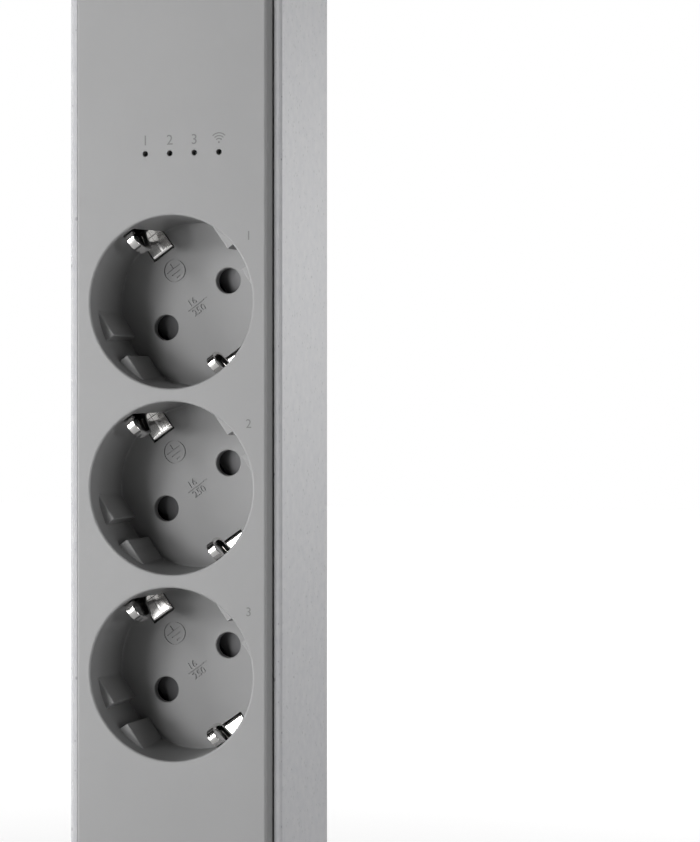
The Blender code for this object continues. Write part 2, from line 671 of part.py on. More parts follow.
def make_earth_rail():
    strip = box((-RAIL_HALF, RAIL_HALF), (RAIL_TOP, RAIL_TOP + RAIL_THICK),
                (SOCKET_Z[0] - EARTH_RAIL_FOOT, RAIL_END))
    add("earth_rail", strip, "brass_contact")


# Control end

def make_control_board():
    board = box((-BOARD_HALF_X, BOARD_HALF_X), (BOARD_TOP, BOARD_BACK), BOARD_Z)
    bevel(add("control_board", board, "board_green"), BOARD_BEVEL, 2, 80)


def make_relays():
    for number, x in enumerate(RELAY_X, 1):
        relay = add(f"relay_{number}", box(*RELAY_BODY), "relay_black", at=(x, PART_SEAT, RELAY_Z))
        bevel(relay, RELAY_BEVEL)


def make_power_parts():
    transformer = add("transformer", box(*TRANSFORMER_BODY), "capacitor_yellow", at=TRANSFORMER_AT)
    bevel(transformer, COIL_BEVEL, 2)
    add("mains_capacitor", round_bar(MAINS_CAPACITOR), "block_black", at=MAINS_CAPACITOR_AT)
    add("surge_varistor", round_bar(VARISTOR, axis="Z"), "capacitor_yellow", at=VARISTOR_AT)
    add("fuse", round_bar(FUSE, axis="X"), "clear_guide", at=FUSE_AT)


def make_wifi_module():
    """A small board with its shield can, on the front of the control board."""
    module = add("wifi_module", box(*WIFI_BOARD), "board_green")
    join(module, add("wifi_can", box(*WIFI_CAN)))


def make_tact_switch():
    switch = add("tact_switch", box(*SWITCH_BODY), "block_black", at=(0, 0, BUTTON_Z))
    join(switch, add("tact_plunger", round_bar(SWITCH_PLUNGER), at=(0, 0, BUTTON_Z)))


def make_light_guide():
    """A clear bar with one finger behind each status light hole."""
    bar = box((LED_X[0] - GUIDE_MARGIN_X, LED_X[-1] + GUIDE_MARGIN_X), GUIDE_BAR,
              (LED_Z - GUIDE_HALF_Z, LED_Z + GUIDE_HALF_Z))
    guide = add("light_guide", bar, "clear_guide")
    for number, x in enumerate(LED_X, 1):
        join(guide, add(f"guide_finger_{number}", round_bar(GUIDE_FINGER, 12), at=(x, 0, LED_Z)))


def make_button():
    """The cap, its retaining flange and its stem, and the spring around the stem."""
    add("button_cap", round_bar(BUTTON_PROFILE, 24), "cover_grey", at=(0, 0, BUTTON_Z))
    start, end = BUTTON_COIL_DEPTH
    add("button_spring", coil(start=start, end=end, **BUTTON_COIL), "nickel_spring", at=(0, 0, BUTTON_Z))


# USB end

def make_usb_board():
    board = box((-USB_BOARD_HALF_X, USB_BOARD_HALF_X), (BOARD_TOP, BOARD_BACK), USB_BOARD_Z)
    bevel(add("usb_board", board, "board_green"), BOARD_BEVEL, 2, 80)


def make_usb_a_port():
    """A steel shell, closed at its back, with the contact tongue inside."""
    port = add("usb_a_port", usb_a_box(USB_A_SHELL, PORT_DEPTH), "nickel_spring")
    cut(port, add("usb_a_cavity", usb_a_box(USB_A_CAVITY, (-CLEAR, USB_A_CAVITY_END))))
    join(port, add("usb_a_tongue", box(*USB_A_TONGUE)))


def make_usb_c_port():
    port = add("usb_c_port", usb_c_slot(USB_C_SHELL, PORT_DEPTH), "nickel_spring")
    cut(port, add("usb_c_cavity", usb_c_slot(USB_C_CAVITY, (-CLEAR, USB_C_CAVITY_END))))
    join(port, add("usb_c_tongue", box(*USB_C_TONGUE)))


def make_usb_power_parts():
    transformer = add("usb_transformer", box(*USB_TRANSFORMER), "capacitor_yellow", at=USB_TRANSFORMER_AT)
    bevel(transformer, COIL_BEVEL, 2)
    add("usb_capacitor", round_bar(USB_CAPACITOR), "block_black", at=USB_CAPACITOR_AT)


# Cable inlet, fasteners and feet

def make_cable_inlet():
    """A grommet that sits in the top wall, a clamp bar and its two screws."""
    neck, flange = INLET_HOLE_R - FIT_GAP, INLET_HOLE_R + INLET_LIP
    low, high = LENGTH - WALL - INLET_SEAT_GAP, LENGTH + FIT_GAP
    under, top = low - INLET_FLANGE_THICK, high + INLET_LIP_THICK
    profile = [(INLET_BORE_R, under), (flange, under), (flange, low), (neck, low), (neck, high),
               (flange, high), (flange - INLET_LIP_BEVEL, top), (INLET_BORE_R, top)]
    add("cable_inlet_bush", turned_ring(profile, 24, "Z"), "rubber_black", at=(0, INLET_DEPTH, 0))
    clamp = add("cord_clamp", box(*CLAMP_BAR), "block_black")
    bevel(clamp, CLAMP_BEVEL)
    for number, side in enumerate((-1, 1), 1):
        at = (side * CLAMP_SCREW_X, 0, CLAMP_Z)
        cut(clamp, add(f"clamp_hole_{number}", round_bar(CLAMP_HOLE, 12), at=at))
        screw = add(f"clamp_screw_{number}", round_bar(CLAMP_SCREW, 12), "steel_screw", at=at)
        cut(screw, *cross_recess(f"clamp_screw_{number}", at, *CLAMP_RECESS))


def make_housing_screws():
    for number, (x, z) in enumerate(screw_places(), 1):
        screw = add(f"housing_screw_{number}", round_bar(SCREW, 12), "steel_screw", at=(x, 0, z))
        cut(screw, *cross_recess(f"housing_screw_{number}", (x, 0, z), *SCREW_RECESS))


def make_foot_pads():
    profile = [(PAD_R, PAD_SEAT), (PAD_R, BODY_DEPTH + PAD_PROUD - PAD_ROUND),
               (PAD_R - PAD_ROUND, BODY_DEPTH + PAD_PROUD)]
    for number, (x, z) in enumerate(pad_places(), 1):
        add(f"foot_pad_{number}", round_bar(profile, 20), "rubber_black", at=(x, 0, z))


def socket_frames():
    """An empty on each socket's axis, turned so that its X runs along the pin axis."""
    frames = []
    for number, z in enumerate(SOCKET_Z, 1):
        frame = bpy.data.objects.new(f"socket_{number}_axis", None)
        bpy.context.scene.collection.objects.link(frame)
        frame.location = place(0, 0, z)
        frame.rotation_euler = (0, -SOCKET_TURN, 0)
        frames.append(frame)
    bpy.context.view_layer.update()
    return frames


def main():
    clear_scene()
    frames = socket_frames()
    make_housing_tray()
    make_front_cover(frames)
    for number, frame in enumerate(frames, 1):
        make_socket_well(number, frame)
        make_shutter(number, frame)
        make_shutter_spring(number, frame)
        make_contact_block(number, frame, SOCKET_Z[number - 1])
        make_earth_clip(number, frame)
        make_live_contact(number, SOCKET_Z[number - 1])
    make_neutral_rail()
    make_earth_rail()
    make_control_board()
    make_relays()
    make_power_parts()
    make_wifi_module()
    make_tact_switch()
    make_light_guide()
    make_button()
    make_usb_board()
    make_usb_a_port()
    make_usb_c_port()
    make_usb_power_parts()
    make_cable_inlet()
    make_housing_screws()
    make_foot_pads()


main()
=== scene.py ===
"""Looks of an upright power strip with three earthed sockets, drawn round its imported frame."""
import json
import math

import bmesh
import bpy
from bpy.props import FloatProperty, FloatVectorProperty, IntProperty, PointerProperty
from mathutils import Matrix, Vector


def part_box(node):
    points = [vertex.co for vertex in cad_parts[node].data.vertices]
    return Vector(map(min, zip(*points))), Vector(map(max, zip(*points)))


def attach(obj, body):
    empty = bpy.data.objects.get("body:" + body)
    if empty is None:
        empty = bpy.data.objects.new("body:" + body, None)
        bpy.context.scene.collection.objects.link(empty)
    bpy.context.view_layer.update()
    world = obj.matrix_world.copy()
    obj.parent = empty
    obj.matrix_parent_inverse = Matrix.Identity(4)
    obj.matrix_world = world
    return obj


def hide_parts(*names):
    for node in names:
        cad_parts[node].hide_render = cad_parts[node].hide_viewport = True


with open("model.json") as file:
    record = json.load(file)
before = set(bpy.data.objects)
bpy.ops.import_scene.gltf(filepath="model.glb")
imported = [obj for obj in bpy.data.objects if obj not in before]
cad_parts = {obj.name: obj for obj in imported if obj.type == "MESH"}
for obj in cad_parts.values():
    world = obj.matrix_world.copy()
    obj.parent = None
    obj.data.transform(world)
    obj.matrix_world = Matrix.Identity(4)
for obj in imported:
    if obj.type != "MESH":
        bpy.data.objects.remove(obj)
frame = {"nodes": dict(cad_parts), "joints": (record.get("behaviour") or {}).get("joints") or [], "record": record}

bl_info = {
    "name": "Power strip builder",
    "version": (1, 0, 0),
    "blender": (4, 5, 0),
    "location": "View3D > Sidebar > Power strip",
    "description": "Builds the detailed pieces of an upright power strip and its studio",
    "category": "Object",
}

HOUSING = "housing"
STRIP = 0.00078
PRINT_LIFT = 0.000004  # how far the middle of the ink stands in front of the face
PRINT_THICK = 0.00002

# Boxes of the frame that the pieces are placed by
COVER_LOW, COVER_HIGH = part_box("front_cover")
TRAY_LOW, TRAY_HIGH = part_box("housing_tray")
FRONT = COVER_LOW.y
BACK = TRAY_HIGH.y
SHUTTER_JOINTS = [joint for joint in frame["joints"] if joint["name"].startswith("shutter")]
PIN_AXIS = Vector(SHUTTER_JOINTS[0]["axis"])
SOCKET_TURN = math.atan2(PIN_AXIS.z, PIN_AXIS.x)


def middle(node):
    low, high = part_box(node)
    return (low + high) / 2


SOCKETS = [Vector((0.0, FRONT, middle(f"socket_well_{number}").z)) for number in (1, 2, 3)]
SCREWS = [middle(f"housing_screw_{number}") for number in range(1, 7)]
PADS = [middle(f"foot_pad_{number}") for number in range(1, 5)]


class StripSizes(bpy.types.PropertyGroup):
    """Sizes of the details that the frame doesn't hold."""
    face_round: FloatProperty(
        name="Face edge", description="Rounding of the cover's outer edge", default=0.00055, unit="LENGTH")
    mouth_round: FloatProperty(
        name="Mouth edge", description="Rounding of each socket's mouth", default=0.0005, unit="LENGTH")
    rim_round: FloatProperty(
        name="Rim edge", description="Rounding of the housing's front edge", default=0.0009, unit="LENGTH")
    back_round: FloatProperty(
        name="Back edge", description="Rounding of the housing's back edge", default=0.003, unit="LENGTH")
    mouth_radius: FloatProperty(
        name="Mouth radius", description="Radius of a socket's mouth", default=0.01985, unit="LENGTH")
    floor_radius: FloatProperty(
        name="Floor radius", description="Radius of a socket's floor", default=0.01925, unit="LENGTH")
    well_depth: FloatProperty(
        name="Well depth", description="Depth of a socket's floor below the face", default=0.0175,
        unit="LENGTH")
    pin_hole_radius: FloatProperty(
        name="Pin hole", description="Radius of a pin hole", default=0.003, unit="LENGTH")
    pin_spacing: FloatProperty(
        name="Pin spacing", description="Distance between two pin holes", default=0.019, unit="LENGTH")
    led_radius: FloatProperty(
        name="Light hole", description="Radius of a status light's hole", default=0.00065, unit="LENGTH")
    label_height: FloatProperty(
        name="Label size", description="Text size of the printed numbers", default=0.0033, unit="LENGTH")
    engraving_depth: FloatProperty(
        name="Engraving", description="Depth of the marks in a well's floor", default=0.00022, unit="LENGTH")
    round_steps: IntProperty(
        name="Round steps", description="Faces round a socket", default=128, min=32, max=256)


class StripColours(bpy.types.PropertyGroup):
    """Colours of the finishes."""
    cover: FloatVectorProperty(
        name="Cover", description="Matte grey of the cover", subtype="COLOR", default=(0.24, 0.24, 0.2415))
    housing: FloatVectorProperty(
        name="Housing", description="Pale recycled plastic", subtype="COLOR", default=(0.40, 0.401, 0.408))
    speck: FloatVectorProperty(
        name="Specks", description="Dark specks in the recycled plastic", subtype="COLOR",
        default=(0.07, 0.07, 0.078))
    print_grey: FloatVectorProperty(
        name="Print", description="Printed numbers on the face", subtype="COLOR",
        default=(0.135, 0.135, 0.137))
    nickel: FloatVectorProperty(
        name="Nickel", description="Earth clips and port shells", subtype="COLOR",
        default=(0.80, 0.79, 0.775))
    brass: FloatVectorProperty(
        name="Brass", description="Contacts and rails", subtype="COLOR", default=(0.78, 0.58, 0.26))


# Materials

def new_material(name, roughness, metallic=0.0):
    """An empty Principled material: (material, nodes, links, shader)."""
    made = bpy.data.materials.new(name)
    made.use_nodes = True
    nodes, links = made.node_tree.nodes, made.node_tree.links
    shader = nodes["Principled BSDF"]
    shader.inputs["Roughness"].default_value = roughness
    shader.inputs["Metallic"].default_value = metallic
    return made, nodes, links, shader


def object_pattern(nodes, links, kind, scale, stretch=(1, 1, 1)):
    """A texture node that reads Object coordinates through a Mapping node."""
    coordinates = nodes.new("ShaderNodeTexCoord")
    mapping = nodes.new("ShaderNodeMapping")
    mapping.inputs["Scale"].default_value = stretch
    links.new(coordinates.outputs["Object"], mapping.inputs["Vector"])
    texture = nodes.new(kind)
    links.new(mapping.outputs["Vector"], texture.inputs["Vector"])
    texture.inputs["Scale"].default_value = scale
    return texture


def ramp(nodes, links, source, stops):
    """A colour ramp: stops of (position, colour)."""
    made = nodes.new("ShaderNodeValToRGB")
    band = made.color_ramp
    for index, (position, colour) in enumerate(stops):
        element = band.elements[index] if index < 2 else band.elements.new(position)
        element.position = position
        element.color = (*colour, 1.0)
    links.new(source, made.inputs["Fac"])
    return made


def shade(colour, factor):
    return tuple(min(channel * factor, 1.0) for channel in colour)


def add_bump(nodes, links, shader, height, strength, distance):
    bump = nodes.new("ShaderNodeBump")
    bump.inputs["Strength"].default_value = strength
    bump.inputs["Distance"].default_value = distance
    links.new(height, bump.inputs["Height"])
    links.new(bump.outputs["Normal"], shader.inputs["Normal"])


def moulded_plastic(name, colour, roughness=0.5, grain=2600.0, depth=0.00003):
    """Smooth moulded plastic with a faint cloud in its colour and a fine spark-eroded grain."""
    made, nodes, links, shader = new_material(name, roughness)
    cloud = object_pattern(nodes, links, "ShaderNodeTexNoise", 45.0)
    cloud.inputs["Detail"].default_value = 4.0
    stops = [(0.25, shade(colour, 0.975)), (0.75, shade(colour, 1.025))]
    tint = ramp(nodes, links, cloud.outputs["Fac"], stops)
    links.new(tint.outputs["Color"], shader.inputs["Base Color"])
    fine = object_pattern(nodes, links, "ShaderNodeTexNoise", grain)
    fine.inputs["Detail"].default_value = 2.0
    add_bump(nodes, links, shader, fine.outputs["Fac"], 0.22, depth)
    shader.inputs["IOR"].default_value = 1.46
    return made


def specks(nodes, links, scale, stretch, smallest, largest, share):
    """Scattered specks of mixed size: 1 in a speck, 0 outside."""
    cells = object_pattern(nodes, links, "ShaderNodeTexVoronoi", scale, stretch)
    cells.inputs["Randomness"].default_value = 1.0
    pick = nodes.new("ShaderNodeSeparateColor")
    links.new(cells.outputs["Color"], pick.inputs["Color"])
    size = nodes.new("ShaderNodeMapRange")
    size.inputs["From Min"].default_value = 1.0 - share
    size.inputs["From Max"].default_value = 1.0
    size.inputs["To Min"].default_value = smallest
    size.inputs["To Max"].default_value = largest
    size.clamp = False
    links.new(pick.outputs["Red"], size.inputs["Value"])
    edge = nodes.new("ShaderNodeMath")
    edge.operation = "SUBTRACT"
    links.new(size.outputs["Result"], edge.inputs[0])
    links.new(cells.outputs["Distance"], edge.inputs[1])
    soft = nodes.new("ShaderNodeMapRange")
    soft.inputs["From Min"].default_value = 0.0
    soft.inputs["From Max"].default_value = 0.09
    links.new(edge.outputs["Value"], soft.inputs["Value"])
    strength = nodes.new("ShaderNodeMath")
    strength.operation = "MULTIPLY"
    links.new(soft.outputs["Result"], strength.inputs[0])
    links.new(pick.outputs["Green"], strength.inputs[1])
    return strength.outputs["Value"]


def recycled_plastic(name, colour, speck_colour):
    """Pale plastic from recycled granulate: two sizes of dark specks, drawn out lengthways."""
    made, nodes, links, shader = new_material(name, 0.52)
    cloud = object_pattern(nodes, links, "ShaderNodeTexNoise", 420.0)
    cloud.inputs["Detail"].default_value = 5.0
    cool = (colour[0] * 0.93, colour[1] * 0.93, colour[2] * 0.96)
    tint = ramp(nodes, links, cloud.outputs["Fac"], [(0.3, cool), (0.7, shade(colour, 1.04))])
    long_specks = specks(nodes, links, 780.0, (1, 1, 0.62), -0.05, 0.30, 0.20)
    fine_specks = specks(nodes, links, 1500.0, (1, 1, 0.7), -0.02, 0.40, 0.34)
    colour_now = tint.outputs["Color"]
    for mask, amount in ((long_specks, 0.85), (fine_specks, 0.42)):
        weight = nodes.new("ShaderNodeMath")
        weight.operation = "MULTIPLY"
        weight.inputs[1].default_value = amount
        links.new(mask, weight.inputs[0])
        mix = nodes.new("ShaderNodeMix")
        mix.data_type = "RGBA"
        links.new(weight.outputs["Value"], mix.inputs["Factor"])
        links.new(colour_now, mix.inputs["A"])
        mix.inputs["B"].default_value = (*speck_colour, 1.0)
        colour_now = mix.outputs["Result"]
    links.new(colour_now, shader.inputs["Base Color"])
    fine = object_pattern(nodes, links, "ShaderNodeTexNoise", 2200.0)
    add_bump(nodes, links, shader, fine.outputs["Fac"], 0.25, 0.00003)
    return made


def plated_metal(name, colour, roughness, stretch=(1, 1, 1)):
    """Plated metal with faint drawing lines in its colour, roughness and surface."""
    made, nodes, links, shader = new_material(name, roughness, 1.0)
    streak = object_pattern(nodes, links, "ShaderNodeTexNoise", 900.0, stretch)
    streak.inputs["Detail"].default_value = 3.0
    tint = ramp(nodes, links, streak.outputs["Fac"], [(0.2, shade(colour, 0.9)), (0.8, shade(colour, 1.05))])
    links.new(tint.outputs["Color"], shader.inputs["Base Color"])
    spread = nodes.new("ShaderNodeMapRange")
    spread.inputs["To Min"].default_value = roughness * 0.7
    spread.inputs["To Max"].default_value = roughness * 1.4
    links.new(streak.outputs["Fac"], spread.inputs["Value"])
    links.new(spread.outputs["Result"], shader.inputs["Roughness"])
    add_bump(nodes, links, shader, streak.outputs["Fac"], 0.12, 0.00001)
    return made


def board_laminate(name):
    """Green solder mask with the weave of the glass cloth and pale copper tracks."""
    made, nodes, links, shader = new_material(name, 0.42)
    weave = object_pattern(nodes, links, "ShaderNodeTexChecker", 1600.0)
    weave.inputs["Color1"].default_value = (0.025, 0.16, 0.06, 1)
    weave.inputs["Color2"].default_value = (0.03, 0.19, 0.075, 1)
    tracks = object_pattern(nodes, links, "ShaderNodeTexBrick", 260.0)
    tracks.inputs["Mortar Size"].default_value = 0.06
    mix = nodes.new("ShaderNodeMix")
    mix.data_type = "RGBA"
    links.new(tracks.outputs["Fac"], mix.inputs["Factor"])
    links.new(weave.outputs["Color"], mix.inputs["A"])
    mix.inputs["B"].default_value = (0.06, 0.28, 0.12, 1)
    links.new(mix.outputs["Result"], shader.inputs["Base Color"])
    add_bump(nodes, links, shader, tracks.outputs["Fac"], 0.3, 0.00004)
    return made


def clear_plastic(name):
    """Clear plastic with a faint haze."""
    made, nodes, links, shader = new_material(name, 0.12)
    haze = object_pattern(nodes, links, "ShaderNodeTexNoise", 300.0)
    tint = ramp(nodes, links, haze.outputs["Fac"], [(0.2, (0.70, 0.74, 0.76)), (0.8, (0.86, 0.88, 0.9))])
    links.new(tint.outputs["Color"], shader.inputs["Base Color"])
    shader.inputs["Transmission Weight"].default_value = 0.85
    shader.inputs["IOR"].default_value = 1.49
    return made


def wound_tape(name, colour):
    """Polyester tape wound over a coil, in bands with thin dark edges."""
    made, nodes, links, shader = new_material(name, 0.3)
    bands = object_pattern(nodes, links, "ShaderNodeTexWave", 220.0)
    bands.inputs["Distortion"].default_value = 0.4
    stops = [(0.0, shade(colour, 0.55)), (0.18, colour), (1.0, colour)]
    tint = ramp(nodes, links, bands.outputs["Fac"], stops)
    links.new(tint.outputs["Color"], shader.inputs["Base Color"])
    add_bump(nodes, links, shader, bands.outputs["Fac"], 0.3, 0.00006)
    return made


def moulded_rubber(name):
    """Black rubber, dull, with a dusty bloom."""
    made, nodes, links, shader = new_material(name, 0.8)
    bloom = object_pattern(nodes, links, "ShaderNodeTexNoise", 180.0)
    bloom.inputs["Detail"].default_value = 6.0
    stops = [(0.3, (0.018, 0.018, 0.018)), (0.8, (0.045, 0.045, 0.047))]
    tint = ramp(nodes, links, bloom.outputs["Fac"], stops)
    links.new(tint.outputs["Color"], shader.inputs["Base Color"])
    fine = object_pattern(nodes, links, "ShaderNodeTexNoise", 1800.0)
    add_bump(nodes, links, shader, fine.outputs["Fac"], 0.4, 0.00006)
    return made


FINISH_MAKERS = {
    "recycled_housing": lambda c: recycled_plastic("recycled_housing_finish", c.housing, c.speck),
    "cover_grey": lambda c: moulded_plastic("cover_grey_finish", c.cover, 0.5),
    "shutter_grey": lambda c: moulded_plastic("shutter_grey_finish", (0.10, 0.10, 0.104), 0.45),
    "block_black": lambda c: moulded_plastic("block_black_finish", (0.035, 0.035, 0.037), 0.5),
    "relay_black": lambda c: moulded_plastic("relay_black_finish", (0.025, 0.027, 0.032), 0.3),
    "print_grey": lambda c: moulded_plastic("print_grey_finish", c.print_grey, 0.6),
    "board_green": lambda c: board_laminate("board_green_finish"),
    "capacitor_yellow": lambda c: wound_tape("capacitor_yellow_finish", (0.72, 0.50, 0.08)),
    "nickel_spring": lambda c: plated_metal("nickel_spring_finish", c.nickel, 0.13),
    "brass_contact": lambda c: plated_metal("brass_contact_finish", c.brass, 0.28),
    "steel_screw": lambda c: plated_metal("steel_screw_finish", (0.55, 0.55, 0.56), 0.3),
    "clear_guide": lambda c: clear_plastic("clear_guide_finish"),
    "rubber_black": lambda c: moulded_rubber("rubber_black_finish"),
}


def finish(slot):
    """The material of one slot, made the first time it is asked for."""
    found = bpy.data.materials.get(slot + "_finish")
    return found or FINISH_MAKERS[slot](bpy.context.scene.strip_colours)


# Modelling helpers

def only(item):
    """Selects and activates one object and nothing else."""
    bpy.ops.object.select_all(action="DESELECT")
    item.select_set(True)
    bpy.context.view_layer.objects.active = item


def settle(item, name):
    """Puts the active object's place into its mesh and names it."""
    only(item)
    bpy.ops.object.transform_apply(location=True, rotation=True, scale=True)
    item.name = name
    item.data.name = name
    return item


def block(name, low, high):
    """A cube fitted between two corners."""
    low, high = Vector(low), Vector(high)
    bpy.ops.object.select_all(action="DESELECT")
    bpy.ops.mesh.primitive_cube_add(size=1, location=(low + high) / 2)
    item = bpy.context.object
    item.scale = high - low
    return settle(item, name)


def select_where(item, kind, test):
    """Enters edit mode with only the elements that pass the test selected."""
    only(item)
    bpy.ops.object.mode_set(mode="EDIT")
    bpy.ops.mesh.select_mode(type=kind)
    bpy.ops.mesh.select_all(action="DESELECT")
    mesh = bmesh.from_edit_mesh(item.data)
    elements = {"VERT": mesh.verts, "EDGE": mesh.edges, "FACE": mesh.faces}[kind]
    for element in elements:
        if test(element):
            element.select_set(True)
    mesh.select_flush_mode()
    bmesh.update_edit_mesh(item.data)


def leave_edit():
    bpy.ops.object.mode_set(mode="OBJECT")


def bevel_edges(item, test, width, steps):
    select_where(item, "EDGE", test)
    bpy.ops.mesh.bevel(offset=width, segments=steps, profile=0.5, affect="EDGES")
    leave_edit()


def runs_along(edge, axis):
    a, b = edge.verts[0].co, edge.verts[1].co
    line = b - a
    return line.length > 0 and abs(line[axis]) > 0.999 * line.length


def edge_at(edge, axis, value, reach=1e-6):
    return all(abs(vert.co[axis] - value) < reach for vert in edge.verts)


def rounded_block(name, low, high, corner, steps=10):
    """A block whose four edges along Y are rounded."""
    item = block(name, low, high)
    bevel_edges(item, lambda edge: runs_along(edge, 1), corner, steps)
    return item


def sink_face(item, normal_y, inset, depth):
    """Insets the flat face that looks along Y and pushes it in by a depth."""
    level = max(vert.co.y * normal_y for vert in item.data.vertices)

    def flat_end(face):
        return face.normal.y * normal_y > 0.99 and abs(face.calc_center_median().y * normal_y - level) < 1e-6
    select_where(item, "FACE", flat_end)
    bpy.ops.mesh.inset(thickness=inset, depth=0)
    bpy.ops.mesh.extrude_region_move(TRANSFORM_OT_translate={"value": (0, -normal_y * depth, 0)})


def point_at(name, place):
    """An object that holds one point, left over from a plane, open in edit mode."""
    bpy.ops.object.select_all(action="DESELECT")
    bpy.ops.mesh.primitive_plane_add(size=0.002, location=(0, 0, 0))
    item = bpy.context.object
    item.name = name
    item.data.name = name
    corner = Vector((0.001, 0.001, 0.0))
    select_where(item, "VERT", lambda vert: (vert.co - corner).length > 0.0001)
    bpy.ops.mesh.delete(type="VERT")
    bpy.ops.mesh.select_all(action="SELECT")
    bpy.ops.transform.translate(value=Vector(place) - corner)
    return item


def turned(name, profile, centre, axis="Y", steps=96):
    """A profile of (radius, along) points, drawn from one point and spun round an axis."""
    centre = Vector(centre)
    spin_axis = {"X": (1, 0, 0), "Y": (0, 1, 0), "Z": (0, 0, 1)}[axis]
    out = {"X": Vector((0, 0, 1)), "Y": Vector((1, 0, 0)), "Z": Vector((1, 0, 0))}[axis]
    points = [centre + out * radius + Vector(spin_axis) * along for radius, along in profile]
    item = point_at(name, points[0])
    for point, following in zip(points, points[1:]):
        bpy.ops.mesh.extrude_vertices_move(TRANSFORM_OT_translate={"value": following - point})
    bpy.ops.mesh.select_all(action="SELECT")
    bpy.ops.mesh.spin(steps=steps, angle=2 * math.pi, center=centre, axis=spin_axis)
    bpy.ops.mesh.select_all(action="SELECT")
    bpy.ops.mesh.remove_doubles(threshold=1e-7)
    bpy.ops.mesh.normals_make_consistent(inside=False)
    leave_edit()
    return item


def boolean(target, tool, operation="DIFFERENCE"):
    """Applies one exact Boolean and deletes the tool."""
    modifier = target.modifiers.new("carve", "BOOLEAN")
    modifier.operation = operation
    modifier.solver = "EXACT"
    modifier.object = tool
    only(target)
    bpy.ops.object.modifier_apply(modifier=modifier.name)
    bpy.data.objects.remove(tool, do_unlink=True)


def merge_flat(item):
    """Merges points in the same place and faces in the same plane."""
    select_where(item, "FACE", lambda face: True)
    bpy.ops.mesh.remove_doubles(threshold=2e-7)
    bpy.ops.mesh.dissolve_limited(angle_limit=math.radians(0.2))
    leave_edit()


def joined(items, name):
    """Several separate bodies in one object."""
    bpy.ops.object.select_all(action="DESELECT")
    for item in items:
        item.select_set(True)
    bpy.context.view_layer.objects.active = items[0]
    bpy.ops.object.join()
    items[0].name = name
    return items[0]


def to_socket(item, socket):
    """Turns a piece drawn in a socket's own frame to the pin axis, and moves it there."""
    item.matrix_world = Matrix.Translation(socket) @ Matrix.Rotation(-SOCKET_TURN, 4, "Y") @ item.matrix_world
    return settle(item, item.name)


def duplicate(item, name):
    """A copy with its own mesh."""
    copy = item.copy()
    copy.data = item.data.copy()
    copy.name = name
    bpy.context.scene.collection.objects.link(copy)
    return copy


def dress(item, slot, body=HOUSING, nodes=(), smooth=30, weighted=True):
    """Shades a finished piece and ties it to its body, its slot and the nodes it stands for."""
    only(item)
    bpy.ops.object.shade_smooth_by_angle(angle=math.radians(smooth))
    if weighted:
        modifier = item.modifiers.new("weighted", "WEIGHTED_NORMAL")
        modifier.keep_sharp = True
        bpy.ops.object.modifier_apply(modifier=modifier.name)
    item.data.materials.clear()
    item.data.materials.append(finish(slot))
    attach(item, body)
    if nodes:
        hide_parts(*nodes)
    return item


def text_shape(name, words, size, thickness, centre):
    """Upright letters that face -Y, as a closed body round the given centre."""
    bpy.ops.object.select_all(action="DESELECT")
    bpy.ops.object.text_add(location=centre, rotation=(math.pi / 2, 0, 0))
    item = bpy.context.object
    item.data.body = words
    item.data.size = size
    item.data.extrude = thickness / 2
    item.data.resolution_u = 4
    item.data.align_x = "CENTER"
    item.data.align_y = "CENTER"
    bpy.ops.object.convert(target="MESH")
    item = settle(bpy.context.object, name)
    bpy.ops.object.mode_set(mode="EDIT")
    bpy.ops.mesh.select_all(action="SELECT")
    bpy.ops.mesh.remove_doubles(threshold=1e-7)
    bpy.ops.mesh.normals_make_consistent(inside=False)
    leave_edit()
    return item


# Housing

def make_housing():
    """The tray: rounded outside, a groove for the cover, screw holes, pad pockets and the inlet."""
    sizes = bpy.context.scene.strip_sizes
    tray = rounded_block("housing_shell", TRAY_LOW, TRAY_HIGH, 0.0035, 12)
    rim_y = TRAY_LOW.y
    bevel_edges(tray, lambda edge: edge_at(edge, 1, BACK), sizes.back_round, 10)
    bevel_edges(tray, lambda edge: edge_at(edge, 1, rim_y), sizes.rim_round, 6)
    wall = TRAY_HIGH.x - COVER_HIGH.x - 0.0003
    sink_face(tray, -1, wall - sizes.rim_round, FRONT + 0.008 - rim_y)
    bpy.ops.mesh.inset(thickness=0.0007, depth=0)
    bpy.ops.mesh.extrude_region_move(TRANSFORM_OT_translate={"value": (0, 0.0372 - 0.008, 0)})
    leave_edit()
    bevel_edges(tray, lambda edge: edge_at(edge, 1, rim_y) and abs(edge.verts[0].co.x) < TRAY_HIGH.x - 0.0015
                and TRAY_LOW.z + 0.0015 < edge.verts[0].co.z < TRAY_HIGH.z - 0.0015, 0.00015, 2)
    cutters = []
    for place in SCREWS:
        profile = [(0, -0.0035), (0.0017, -0.0035), (0.0017, 0.0361 + FRONT - BACK)]
        profile += [(0.0028, 0.0361 + FRONT - BACK), (0.0028, -0.0003), (0.0034, 0.0003), (0, 0.0003)]
        cutters.append(turned("bore", profile, (place.x, BACK, place.z), steps=40))
    for place in PADS:
        profile = [(0, -0.0007), (0.0053, -0.0007), (0.0053, -0.0002), (0.0057, 0.0002), (0, 0.0002)]
        cutters.append(turned("pocket", profile, (place.x, BACK, place.z), steps=64))
    inlet = middle("cable_inlet_bush")
    cutters.append(turned("inlet", [(0, -0.004), (0.0063, -0.004), (0.0063, 0.001), (0, 0.001)],
                          (0, inlet.y, TRAY_HIGH.z), "Z", 64))
    boolean(tray, joined(cutters, "tray_cuts"))
    dress(tray, "recycled_housing", nodes=["housing_tray"])


# Front cover and socket wells

